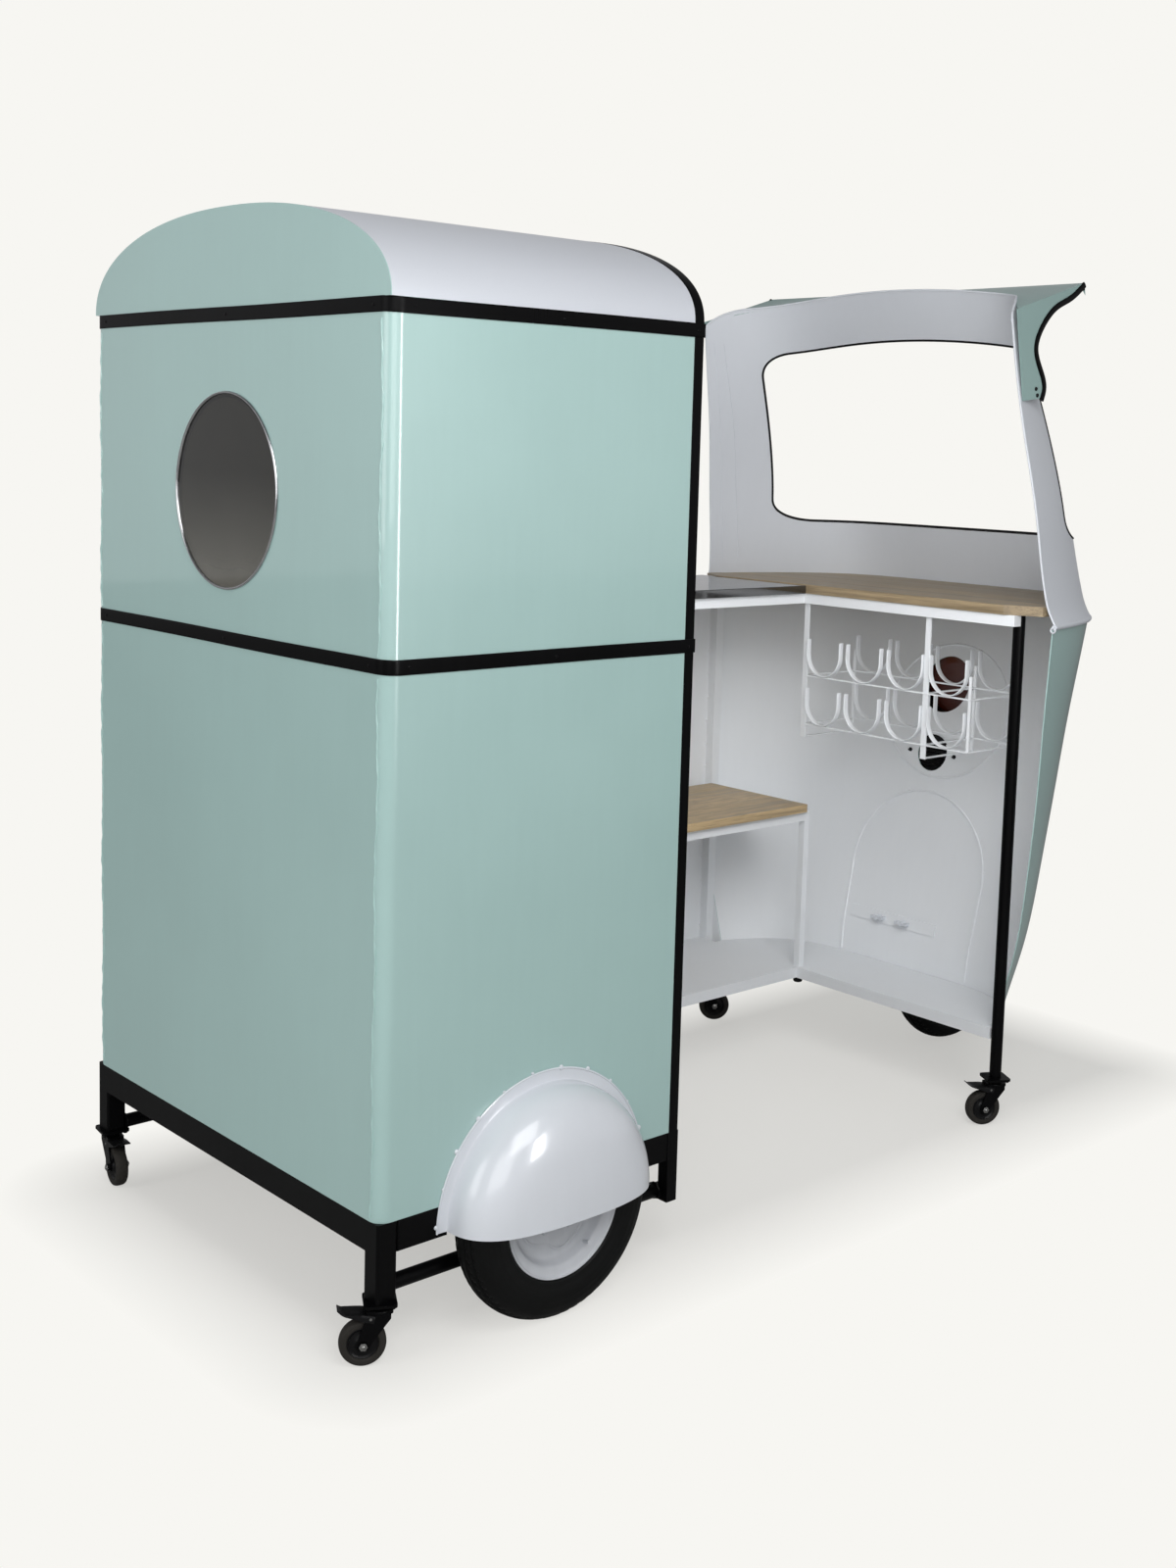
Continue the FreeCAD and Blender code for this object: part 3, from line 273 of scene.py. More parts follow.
def hex_head(centre: Point, axis: Array, radius: float, height: float) -> Patch:
    """Six-sided bolt head or nut with a chamfered top, turned in six steps."""
    profile = [(0, 0), (radius, 0), (radius, 0.8 * height), (0.82 * radius, height), (0, height)]
    return lathe(profile, centre, axis, 6)


def dome_head(centre: Point, axis: Array, radius: float, height: float) -> Patch:
    """Low domed rivet, screw head or spot of weld, a quarter ellipse turned round.

    Args:
        centre: middle of its foot.
        axis: direction that it rises in.
        radius: radius of its foot.
        height: height of the dome.

    Returns:
        The head, sunk in by a third of its height.
    """
    rise = np.linspace(0, QUARTER, 5)
    profile = np.stack([radius * np.cos(rise), height * np.sin(rise)], axis=1)
    return lathe(np.concatenate([[(0, -height / 3), (radius, -height / 3)], profile]), centre, axis, 12)


def weld_line(path: Array, radius: float, up: Array, loop: bool = False) -> Patch:
    """Bead of weld: a tube whose size ripples along its run.

    Args:
        path: points of the centreline.
        radius: mean radius of the bead.
        up: direction, or one for each path point, that the section leans to.
        loop: True where the path comes back to its start.

    Returns:
        The bead.
    """
    run = np.arange(len(path))
    swell = 1 + 0.22 * np.sin(run * 1.9) + 0.15 * np.sin(run * 0.73 + 1)
    return sweep(path, circle(radius, 8), up, loop, swell)


def piece(name: str, patches: list[Patch], finish: "Finish", second: "Finish | None" = None, body: str = "bar",
          stands_for: str = "", wall: float = 0.0, angle: float = 35.0, slot: str = "") -> None:
    """Mesh object from patches, welded, given its wall, shaded and set to ride on a body.

    Args:
        name: name of the piece.
        patches: surfaces to join.
        finish: finish of the patches with tint 0.
        second: finish of the patches with tint 1, or of the inside of a sheet.
        body: CAD body that it moves with.
        stands_for: CAD node that it replaces.
        wall: thickness of the sheet in millimetres, laid inwards.
        angle: edges that turn more than this many degrees stay crisp.
        slot: material slot in the record, where it isn't the finish's own; not used.
    """
    starts = np.cumsum([0] + [len(p.points) for p in patches])
    points = to_row(np.concatenate([p.points for p in patches]))
    faces = np.concatenate([p.faces + s for p, s in zip(patches, starts)])
    mesh = bpy.data.meshes.new(name)
    mesh.from_pydata(points.tolist(), [], faces.tolist())
    tints = np.repeat(np.array([p.tint for p in patches], np.int32), [len(p.faces) for p in patches])
    mesh.polygons.foreach_set("material_index", tints)
    shell = bmesh.new()
    shell.from_mesh(mesh)
    bmesh.ops.remove_doubles(shell, verts=shell.verts, dist=0.02 * MM)
    bmesh.ops.dissolve_degenerate(shell, edges=shell.edges, dist=0.005 * MM)
    shell.to_mesh(mesh)
    shell.free()
    mesh.materials.append(finish.material())
    if second:
        mesh.materials.append(second.material())
    obj = bpy.data.objects.new(name, mesh)
    bpy.context.scene.collection.objects.link(obj)
    if wall:
        sheet = obj.modifiers.new("wall", "SOLIDIFY")
        sheet.thickness = wall * MM
        sheet.offset = -1
        sheet.use_even_offset = True
        sheet.material_offset = 1 if second else 0
        mesh = bpy.data.meshes.new_from_object(obj.evaluated_get(bpy.context.evaluated_depsgraph_get()))
        obj.modifiers.clear()
        obj.data = mesh
        mesh.name = name
    mesh.shade_smooth()
    mesh.set_sharp_from_angle(angle=math.radians(angle))
    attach(obj, body)
    if stands_for:
        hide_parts(stands_for)
    LOG.info("%s: %d faces on %s", name, len(mesh.polygons), body)


def dress(finish: "Finish", *nodes: str) -> None:
    """Give CAD nodes that stay in view a procedural finish.

    Args:
        finish: the finish.
        nodes: names of the CAD nodes.
    """
    for node in nodes:
        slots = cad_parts[node].data.materials
        slots.clear()
        slots.append(finish.material())
        LOG.info("%s: CAD node dressed", node)


# Finishes


def tone(red: float, green: float, blue: float) -> tuple:
    """Display colour as linear values with full opacity.

    Args:
        red: red from 0 to 255.
        green: green from 0 to 255.
        blue: blue from 0 to 255.

    Returns:
        Red, green, blue and opacity from 0 to 1.
    """
    share = np.array([red, green, blue]) / 255
    flat = np.where(share <= 0.04045, share / 12.92, ((share + 0.055) / 1.055) ** 2.4)
    return (*flat.tolist(), 1.0)


def shade(colour: tuple, by: float) -> tuple:
    """Linear colour made darker or lighter by a factor."""
    return (*[min(1.0, c * by) for c in colour[:3]], 1.0)


class Shader:
    """Nodes of a material or a world, and short ways to add to them."""

    def __init__(self, owner: bpy.types.ID) -> None:
        """Node tree of a new material or world."""
        owner.use_nodes = True
        self.tree = owner.node_tree

    @cached_property
    def coords(self) -> bpy.types.NodeSocket:
        """Object coordinates."""
        return self.add("TexCoord", {}).outputs["Object"]

    @cached_property
    def seen(self) -> bpy.types.NodeSocket:
        """One where the ray comes from the camera or through glass, else zero."""
        rays = self.add("LightPath", {}).outputs
        return self.math("MAXIMUM", rays["Is Camera Ray"], rays["Is Transmission Ray"])

    def put(self, node: bpy.types.Node, sockets: dict) -> None:
        """Set inputs of a node by name or number; a socket is linked, a value is written.

        Args:
            node: node to set.
            sockets: input names or numbers with their values.
        """
        for key, value in sockets.items():
            if isinstance(value, bpy.types.NodeSocket):
                self.tree.links.new(value, node.inputs[key])
            else:
                node.inputs[key].default_value = value

    def add(self, kind: str, sockets: dict, **settings) -> bpy.types.Node:
        """New node of a kind, with its inputs and settings.

        Args:
            kind: node type without its prefix.
            sockets: input names or numbers with their values.
            settings: properties of the node.

        Returns:
            The node.
        """
        node = self.tree.nodes.new("ShaderNode" + kind)
        for key, value in settings.items():
            setattr(node, key, value)
        self.put(node, sockets)
        return node

    def math(self, operation: str, a: object, b: object = 0.0) -> bpy.types.NodeSocket:
        """One step of arithmetic."""
        return self.add("Math", {0: a, 1: b}, operation=operation).outputs[0]

    def vector(self, operation: str, *inputs: object) -> bpy.types.Node:
        """One step of arithmetic on vectors."""
        return self.add("VectorMath", dict(enumerate(inputs)), operation=operation)

    def noise(self, scale: float, detail: float = 2.0, stretch: Point = (1, 1, 1), distortion: float = 0.0,
              coords: bpy.types.NodeSocket | None = None) -> bpy.types.NodeSocket:
        """Noise from 0 to 1 over the object.

        Args:
            scale: spots in a metre.
            detail: octaves.
            stretch: scale along each axis.
            distortion: how far the noise bends itself.
            coords: coordinates, if not the object's.

        Returns:
            The noise's value.
        """
        place = self.add("Mapping", {"Vector": coords or self.coords, "Scale": stretch})
        return self.add("TexNoise", {"Vector": place.outputs[0], "Scale": scale, "Detail": detail,
                                     "Distortion": distortion}).outputs["Fac"]

    def span(self, value: object, low: float, high: float, start: float = 0.3,
             end: float = 0.7) -> bpy.types.NodeSocket:
        """Value from start to end brought to the span from low to high."""
        return self.add("MapRange", {"Value": value, 1: start, 2: end, 3: low, 4: high}).outputs[0]

    def mix(self, share: object, a: object, b: object) -> bpy.types.NodeSocket:
        """Blend of two colours."""
        return self.add("Mix", {0: share, 6: a, 7: b}, data_type="RGBA").outputs[2]

    def bump(self, height: object, depth: float, under: object | None = None) -> bpy.types.NodeSocket:
        """Normal raised by a height, over another normal.

        Args:
            height: height from 0 to 1.
            depth: depth of the relief in millimetres.
            under: normal that it lies on, if any.

        Returns:
            The new normal.
        """
        sockets = {"Height": height, "Distance": depth * MM, "Strength": 1.0}
        if under is not None:
            sockets["Normal"] = under
        return self.add("Bump", sockets).outputs[0]


@dataclass(frozen=True)
class Finish:
    """A surface finish and its slot in the record; its material is made once and shared."""

    name: str
    colour: tuple
    slot: str = ""

    def material(self) -> bpy.types.Material:
        """The finish's material, made on first use."""
        found = bpy.data.materials.get(self.name)
        if found is None:
            found = bpy.data.materials.new(self.name)
            s = Shader(found)
            s.put(s.tree.nodes["Principled BSDF"], self.sockets(s))
        return found

    def sockets(self, s: Shader) -> dict:
        """Inputs of the main shader, with the nodes that feed them.

        Args:
            s: nodes of the new material.

        Returns:
            Names of inputs with their values or sockets.
        """
        raise NotImplementedError

    def blend(self, s: Shader, share: object, first: float, last: float) -> bpy.types.NodeSocket:
        """Colour of the finish, shaded by a first factor where the share is 0 and a last one where it is 1."""
        return s.mix(share, shade(self.colour, first), shade(self.colour, last))


@dataclass(frozen=True)
class Paint(Finish):
    """Brushed or sprayed enamel on sheet steel: cloudy tone, brush streaks, peel and slow waves."""

    rough: float = 0.3
    cloud: float = 0.05
    peel: float = 0.012
    wave: float = 0.5
    coat: float = 0.25
    metal: float = 0.0
    gloss: float = 0.5
    polish: float = 0.12
    wander: float = 0.22
    streak: Point = (1.0, 1.0, 0.1)

    def sockets(self, s: Shader) -> dict:
        """Tone from two noises, gloss that wanders, and bump from peel and dents."""
        streak = s.noise(60, 3, self.streak)
        cloud = s.math("ADD", s.math("MULTIPLY", s.noise(2.6, 3), 0.75), s.math("MULTIPLY", streak, 0.25))
        colour = self.blend(s, s.span(cloud, 0, 1), 1 - self.cloud, 1 + self.cloud)
        specks = s.span(s.noise(420, 1), 0, 0.35, 0.72, 0.8)
        dents = s.bump(s.noise(5.5, 2), self.wave)
        peel = s.bump(s.noise(330, 2), self.peel, dents)
        return {"Base Color": s.mix(specks, colour, shade(self.colour, 0.8)), "Metallic": self.metal,
                "Coat Weight": self.coat, "Coat Roughness": self.polish, "Specular IOR Level": self.gloss,
                "Normal": s.bump(streak, self.peel * 2, peel),
                "Roughness": s.span(cloud, self.rough * (1 - self.wander), self.rough * (1 + self.wander))}


@dataclass(frozen=True)
class Metal(Finish):
    """Plated or bare steel with fine scratches and dull patches."""

    rough: float = 0.2
    dull: float = 0.15

    def sockets(self, s: Shader) -> dict:
        """Metal whose gloss follows scratches and patches."""
        patch = s.noise(45, 3)
        return {"Base Color": self.blend(s, s.span(patch, 0, 1), 0.82, 1), "Metallic": 1.0,
                "Normal": s.bump(s.noise(700, 3, (1, 0.06, 1)), 0.02),
                "Roughness": s.span(patch, self.rough, self.rough + self.dull)}


@dataclass(frozen=True)
class Rubber(Finish):
    """Moulded rubber or plastic with a dusty bloom."""

    rough: float = 0.55
    bloom: float = 0.25
    grain: float = 0.05

    def sockets(self, s: Shader) -> dict:
        """Dark body, paler dust in patches and a fine grain."""
        dust_and_painted_reflection = s.noise(22, 4)
        return {"Base Color": self.blend(s, s.span(dust_and_painted_reflection, 0, self.bloom, 0.4, 0.75), 1, 2.6),
                "Normal": s.bump(s.noise(900, 2), self.grain), "Specular IOR Level": 0.14,
                "Roughness": s.span(dust_and_painted_reflection, self.rough - 0.08, self.rough + 0.12)}


@dataclass(frozen=True)
class Glass(Finish):
    """Clear or tinted glass with a paler grey film, painted reflection, that thickens towards its lower edge."""

    rough: float = 0.02
    through: float = 1.0
    dust_and_painted_reflection: float = 0.0
    painted_reflection_low: float = 0.0
    painted_reflection_high: float = 1.0

    def sockets(self, s: Shader) -> dict:
        """Transmission with smears in the gloss, and a grey film of painted reflection between two heights."""
        smear = s.noise(9, 4)
        height = s.add("SeparateXYZ", {0: s.coords}).outputs[2]
        wavy = s.math("ADD", height, s.math("MULTIPLY", smear, 0.05))
        # Painted reflection: a paler grey film over the lower part of the pane, fading out between two heights.
        painted_reflection_share = s.span(wavy, self.dust_and_painted_reflection, 0.0, self.painted_reflection_low, self.painted_reflection_high)
        clear = self.blend(s, s.span(smear, 0, 1), 0.85, 1)
        return {"Base Color": s.mix(painted_reflection_share, clear, tone(152, 150, 142)), "IOR": 1.46,
                "Transmission Weight": s.math("MULTIPLY", s.math("SUBTRACT", 1.0, painted_reflection_share), self.through),
                "Roughness": s.span(smear, self.rough, self.rough + 0.05)}


@dataclass(frozen=True)
class Boards(Finish):
    """Plain sawn boards side by side, across X with the grain along Y, or across Y with it along X."""

    pitch: float = 118.0
    origin: float = 0.0
    across: int = 0
    rough: float = 0.4

    def sockets(self, s: Shader) -> dict:
        """Each board has its own tone; long noise gives grain, rings and pores; saw marks cross it."""
        parts = s.add("SeparateXYZ", {0: s.coords}).outputs
        start = self.origin * MM + (0.0 if self.across else REAR_X)
        board = s.math("DIVIDE", s.math("SUBTRACT", parts[self.across], start), self.pitch * MM)
        luck = s.add("TexWhiteNoise", {"W": s.math("FLOOR", board)}, noise_dimensions="1D").outputs["Value"]
        far = s.add("CombineXYZ", {2: s.math("MULTIPLY", luck, 7.0)}).outputs[0]
        coords = s.vector("ADD", s.coords, far).outputs[0]
        long = (0.045, 1.0, 1.0) if self.across else (1.0, 0.045, 1.0)
        rings = s.noise(34, 3, long, 1.2, coords)
        pores = s.noise(420, 3, (long[0], long[1] * 0.6, 1.0), 0.3, coords)
        tint = s.noise(5, 2, (1, 0.4, 1), 0, coords)
        saw = s.noise(160, 2, (1.0, 0.05, 1.0) if self.across else (0.05, 1.0, 1.0), 0.2, coords)
        colour = self.blend(s, s.span(rings, 0, 1, 0.34, 0.66), 0.4, 1.3)
        for share, by in ((s.span(tint, 0, 0.4), 1.1), (s.span(pores, 0.7, 0.0, 0.34, 0.52), 0.38),
                          (s.span(luck, 0.0, 0.6, 0, 1), 0.7)):
            colour = s.mix(share, colour, shade(self.colour, by))
        return {"Base Color": colour, "Coat Weight": 0.12, "Coat Roughness": 0.4,
                "Normal": s.bump(pores, 0.25, s.bump(rings, 0.35, s.bump(saw, 0.12))),
                "Roughness": s.span(rings, self.rough - 0.06, self.rough + 0.14)}


@dataclass(frozen=True)
class Stone(Finish):
    """Polished black slab with faint flecks."""

    rough: float = 0.06

    def sockets(self, s: Shader) -> dict:
        """Nearly black body, small paler flecks and a clear polish."""
        fleck = s.span(s.noise(260, 3), 0, 0.5, 0.66, 0.78)
        return {"Base Color": s.mix(fleck, self.colour, tone(70, 72, 74)), "Specular IOR Level": 0.9, "IOR": 1.9,
                "Roughness": s.span(s.noise(14, 3), self.rough, self.rough + 0.05)}


MINT = Paint("mint_enamel", tone(167, 198, 194), "mint_paint", rough=0.36, cloud=0.03, coat=0.8, polish=0.05)
# Painted shade: the mint enamel made darker for the visor.
VISOR_SHADED_MINT = Paint("visor_mint_painted_shade", tone(143, 171, 167), "mint_paint", rough=0.36, cloud=0.03, coat=0.15)
SILVER = Paint("silver_enamel", tone(217, 221, 228), "silver_paint", rough=0.34, cloud=0.0, peel=0.0, metal=0.3,
               wave=0.0, coat=0.0, wander=0.0, streak=(1.0, 1.0, 1.0))
WHITE = Paint("white_enamel", tone(230, 233, 236), "white_paint", rough=0.45, cloud=0.02, coat=0.0, gloss=0.25)
# Painted shade: the white enamel made darker for the windscreen hoop, its hems and the wing nuts.
SHADED_WHITE = Paint("white_enamel_painted_shade", tone(209, 213, 219), "white_paint", rough=0.45, cloud=0.02, coat=0.0, gloss=0.25)
SPUN_WHITE = Paint("spun_white_enamel", tone(219, 223, 229), "white_paint", rough=0.22, cloud=0.02, wave=0.15,
                   coat=0.45, polish=0.04)
RIM_WHITE = Paint("rim_enamel", tone(203, 206, 211), "white_paint", rough=0.5, cloud=0.1, wave=0.2, coat=0.0,
                  gloss=0.2)
BLACK = Paint("black_enamel", tone(6, 6, 7), "black_paint", rough=0.34, cloud=0.15, wave=0.2, coat=0.0, gloss=0.08)
COUNTER = Boards("counter_oak", tone(168, 148, 116), "counter_wood", origin=1697.5)
SHELF = Boards("shelf_oak", tone(199, 173, 131), pitch=117.2, origin=133.5, across=1)
SLAB = Stone("black_slab_polish", tone(12, 12, 13))
CHROME = Metal("rim_chrome", tone(190, 191, 193), "chrome", rough=0.12)
ZINC = Metal("zinc_plate", tone(150, 150, 148), "zinc_steel", rough=0.28)
TYRE = Rubber("tyre_rubber", tone(7, 8, 8), "tyre", rough=0.5, bloom=0.03)
SEAL = Rubber("seal_rubber", tone(22, 22, 23), "rubber", rough=0.6)
TREAD = Rubber("castor_tread", tone(44, 42, 39), "castor_rubber", rough=0.66, bloom=0.2)
PLASTIC = Rubber("black_nylon", tone(18, 18, 19), "black_plastic", rough=0.35, bloom=0.1)
# Painted reflection: a pale film on the pane's lower part; the dark warm tint is partly the glass's own and partly
# painted shade of the dim cabinet inside.
PANE = Glass("porthole_pane", tone(72, 70, 58), dust_and_painted_reflection=0.6, painted_reflection_low=1.3, painted_reflection_high=1.5)
AMBER = Glass("amber_pane", tone(74, 22, 10), rough=0.12, through=0.4)


# Rear cabinet


@dataclass
class RearCabinet:
    """Green cabinet with its roof, bands, porthole, shelves and black chassis."""

    half: float = 500.0
    front: float = 660.0
    depth: float = 685.0
    base: float = 250.0
    seam: float = 1173.5
    springing: float = 1757.0
    rise: float = 173.0
    arch_power: float = 2.2
    corner: float = 26.0
    flat: float = 4.0
    sheet: float = 1.5
    band: float = 25.0
    band_low: float = 1161.0
    band_high: float = 1732.0
    pane_z: float = 1435.0
    pane: float = 170.5
    wheel_x: float = 355.0
    wheel_z: float = 203.0
    pocket: float = 213.0
    pocket_depth: float = 20.0
    stretcher: float = 13.5
    stretcher_z: float = 125.5
    rail_low: float = 197.0
    ridge: float = 2.0
    ridge_step: float = 6.0
    rivets_x: Point = (44.0, 352.0, 668.0)
    rivets_y: Point = (-455.0, 0.0, 455.0)
    middle: Point = (330.0, 0.0, 900.0)

    def bend(self, side: Side, out: float) -> Array:
        """Plan of one rear corner: a quarter circle with a short flat at each end.

        Args:
            side: side of the cabinet.
            out: distance outside the skin.

        Returns:
            Points of x and y from the side to the rear.
        """
        turn = np.linspace(0, QUARTER, 15)
        r, hub = self.corner + out, self.half - self.corner
        x = np.concatenate([[self.corner + self.flat], self.corner - r * np.sin(turn), [-out]])
        y = np.concatenate([[self.half + out], hub + r * np.cos(turn), [hub - self.flat]])
        return np.stack([x, y * side.value], axis=1)

    def upright(self, plan: Array, low: float, high: float, rows: int) -> Array:
        """Plan line raised from one height to another, as a grid."""
        return xyz(plan[:, :1], plan[:, 1:], np.linspace(low, high, rows))

    def ring_to_box(self, radius: float, centre: Array, low: Array, high: Array) -> Array:
        """Flat ring from a circle out to a rectangle, both met by the same rays from the centre.

        Args:
            radius: radius of the hole.
            centre: centre of the hole.
            low: lowest corner of the rectangle.
            high: highest corner of the rectangle.

        Returns:
            Grid of points in the plane, rays by steps.
        """
        corners = [math.atan2(b - centre[1], a - centre[0]) for a in (low[0], high[0]) for b in (low[1], high[1])]
        angle = np.unique(np.concatenate([np.linspace(-HALF, HALF, 97), corners]))
        ray = np.stack([np.cos(angle), np.sin(angle)], axis=1)
        reach = np.where(ray > 0, high - centre, centre - low) / np.maximum(np.abs(ray), 1e-9)
        length = radius + (reach.min(axis=1)[:, None] - radius) * np.linspace(0, 1, 7) ** 1.5
        return centre + ray[:, None] * length[..., None]

    def skins(self) -> None:
        """Two sheets bent round the rear corners, with the porthole cut and the wheel pockets."""
        rear_y = self.half - self.corner - self.flat
        x = np.linspace(self.corner + self.flat, self.front, 61)
        arc = self.wheel_z + np.sqrt(np.maximum(self.pocket ** 2 - (x - self.wheel_x) ** 2, 0))
        for name, low, high in (("lower_skin", self.base, self.seam), ("upper_skin", self.seam, self.springing)):
            patches = []
            foot = np.maximum(low, arc)
            for side in Side:
                patches.append(grid(self.upright(self.bend(side, 0), low, high, 24), self.middle))
                z = foot + (high - foot) * np.linspace(0, 1, 20)[:, None]
                patches.append(grid(xyz(x, self.half * side.value, z), self.middle))
                if name == "lower_skin":
                    patches += self.pocket_patches(side)
            if name == "upper_skin":
                ring = self.ring_to_box(self.pane + 2, np.array([0, self.pane_z]), np.array([-rear_y, low]),
                                        np.array([rear_y, high]))
                rear = xyz(0.0, ring[..., 0], ring[..., 1])
            else:
                rear = self.upright(between((0, -rear_y), (0, rear_y), 40), low, high, 30)
            patches.append(grid(rear, self.middle))
            piece("dressed_" + name, patches, MINT, WHITE, stands_for=name, wall=self.sheet)

    def pocket_patches(self, side: Side) -> list[Patch]:
        """Pressed pocket behind a fender: a wall along the arc and a flat bottom above the base line.

        Args:
            side: side of the cabinet.

        Returns:
            The wall and the bottom.
        """
        lean = math.asin((self.base - self.wheel_z) / self.pocket)
        turn = np.linspace(lean, HALF - lean, 49)[:, None]
        x, top = self.wheel_x + self.pocket * np.cos(turn), self.wheel_z + self.pocket * np.sin(turn)
        inner = self.half - self.pocket_depth
        wall = xyz(x, np.linspace(self.half, inner, 3) * side.value, top)
        bottom = xyz(x, inner * side.value, self.base + (top - self.base) * np.linspace(0, 1, 9))
        return [grid(wall, (self.wheel_x, 0, 5 * self.springing)), grid(bottom, self.middle)]

    def bands(self) -> None:
        """Black flat bands with rounded edges, carried round the rear corners."""
        right, left = (np.concatenate([[(self.depth, s.value * (self.half + 1))], self.bend(s, 1.0)]) for s in Side)
        plan = np.concatenate([between(right[0], right[1], 24)[:-1], right[1:],
                               between(right[-1], left[-1], 40)[1:-1], left[:0:-1],
                               between(left[1], left[0], 24)[1:]])
        ripple = 0.5 * np.sin(np.arange(len(plan)) * 0.21)
        for name, low in (("mid_band", self.band_low), ("top_band", self.band_high)):
            path = np.column_stack([plan, low + self.band / 2 + ripple])
            piece("dressed_" + name, [sweep(path, strip_profile(2.0, self.band, 0.1), Z_AXIS)], BLACK,
                  stands_for=name)

    def arch(self, inset: float, count: int = 121) -> Array:
        """Rounded arch where |y / half| ** power + |z / rise| ** power = 1 above the springing line.

        Args:
            inset: distance inside the outer face.
            count: number of points, an odd number.

        Returns:
            Points of y and z from the right springing to the left.
        """
        turn = np.linspace(0, HALF, count)
        cos, sin = np.cos(turn), np.maximum(np.sin(turn), 0)
        y = -(self.half - inset) * np.sign(cos) * np.abs(cos) ** (2 / self.arch_power)
        return np.stack([y, self.springing + (self.rise - inset) * sin ** (2 / self.arch_power)], axis=1)

    def roof(self) -> None:
        """Silver roof sheet, the arch drawn along X, and the flat green panel that closes it at the rear."""
        y, z = self.arch(0).T
        inside = (330, 0, self.springing - 600)
        sheet = xyz(np.linspace(self.sheet, self.front, 24)[:, None], y, z)
        piece("dressed_roof", [grid(sheet, inside)], SILVER, WHITE, stands_for="roof_skin", wall=self.sheet)
        panel = xyz(0.0, y, self.springing + (z - self.springing) * np.linspace(0, 1, 12)[:, None])
        piece("dressed_rear_arch", [grid(panel, inside)], MINT, WHITE, stands_for="rear_arch_panel",
              wall=self.sheet)

    def portal(self) -> None:
        """Black square tube up one side of the open front, over the arch and down the other side."""
        tube = self.depth - self.front
        line = self.arch(tube / 2)
        post = between((line[0, 0], self.base), line[0], 30)[:-1]
        y, z = np.concatenate([post, line, post[::-1] * (-1, 1)]).T
        path = xyz(self.front + tube / 2, y, z)
        piece("dressed_portal", [sweep(path, strip_profile(tube, tube, 0.08), X_AXIS)], BLACK,
              stands_for="front_portal")

    def porthole(self) -> None:
        """Plated rim with a rolled face, and the rubber ring behind the glass."""
        wide = np.array([self.pane, 0])
        rim = np.array([(0, 8), (0, -1), (1, -3.2), (2.8, -4), (4.6, -3.2), (5.5, 0), (2, 0), (2, 8), (0, 8)])
        ring = np.array([(-6, 4), (0, 4), (0, 8), (-4, 8), (-5.6, 6.5), (-6, 4)])
        centre = (0, 0, self.pane_z)
        piece("dressed_porthole_rim", [lathe(soften(wide + rim, 2, 0.22), centre, X_AXIS, 128)], CHROME,
              stands_for="porthole_rim", angle=50)
        piece("dressed_porthole_ring", [lathe(soften(wide + ring, 1), centre, X_AXIS, 128)], SEAL,
              stands_for="porthole_gasket")
        dress(PANE, "porthole_glass")

    def welds(self) -> None:
        """Beads where tubes of the chassis meet, and rivets along the bands."""
        beads, rivets = [], []
        y = self.half - self.pocket_depth - self.sheet - self.stretcher
        ring = circle(self.stretcher + 0.7, 32)
        rows = (self.band_low + 12, self.band_high + 12)
        rivet, bead, thick_bead = (3.2, 1.3), 1.6, 2.4
        for side in Side:
            for x in (40.0, self.front):
                path = xyz(x, side.value * y + ring[:, 0], self.stretcher_z + ring[:, 1])
                beads.append(weld_line(path, thick_bead, X_AXIS, True))
            edge = self.half * side.value
            for x in (41, self.front - 1):
                upright = between((x, edge, self.rail_low), (x, edge, self.base - 1), 20)
                beads.append(weld_line(upright, bead, Y_AXIS))
            inner, under = edge - side.value * 38, self.rail_low - 2
            beads.append(weld_line(between((2, inner, under), (24, inner, under), 12), bead, Z_AXIS))
            rivets += [dome_head((x, side.value * (self.half + 1.9), z), Y_AXIS * side.value, *rivet)
                       for z in rows for x in self.rivets_x]
        rivets += [dome_head((-1.9, y, z), -X_AXIS, *rivet) for z in rows for y in self.rivets_y]
        piece("chassis_welds", beads, BLACK)
        piece("band_rivets", rivets, BLACK)

    def corner_seams(self) -> None:
        """Hammered seam beside each rear corner: a thin upright ridge that wanders a little."""
        ridges = []
        for side in Side:
            for low, high in ((self.base + 4, self.band_low - 3), (self.band_low + 28, self.band_high - 3)):
                z = np.arange(low, high, self.ridge_step)
                wander = 2.2 * np.sin(z * 0.021) + 1.1 * np.sin(z * 0.083 + 1) + 0.5 * np.sin(z * 0.31)
                path = xyz(0.45, side.value * (self.half - self.corner + 4 + wander), z)
                ridges.append(sweep(path, circle(self.ridge, 10), X_AXIS, swell=1 + 0.25 * np.sin(z * 0.17)))
        piece("corner_seams", ridges, MINT)

    def build(self) -> None:
        """All pieces of the cabinet, and finishes for its plain CAD nodes."""
        for step in (self.skins, self.bands, self.roof, self.portal, self.porthole, self.welds, self.corner_seams):
            step()
        dress(BLACK, "cabinet_chassis")
        dress(WHITE, "inner_frame", "cabinet_floor", "cabinet_shelves")
        dress(ZINC, "coupling_bolts", "rear_axle", "front_axle")


# Road wheels and fenders


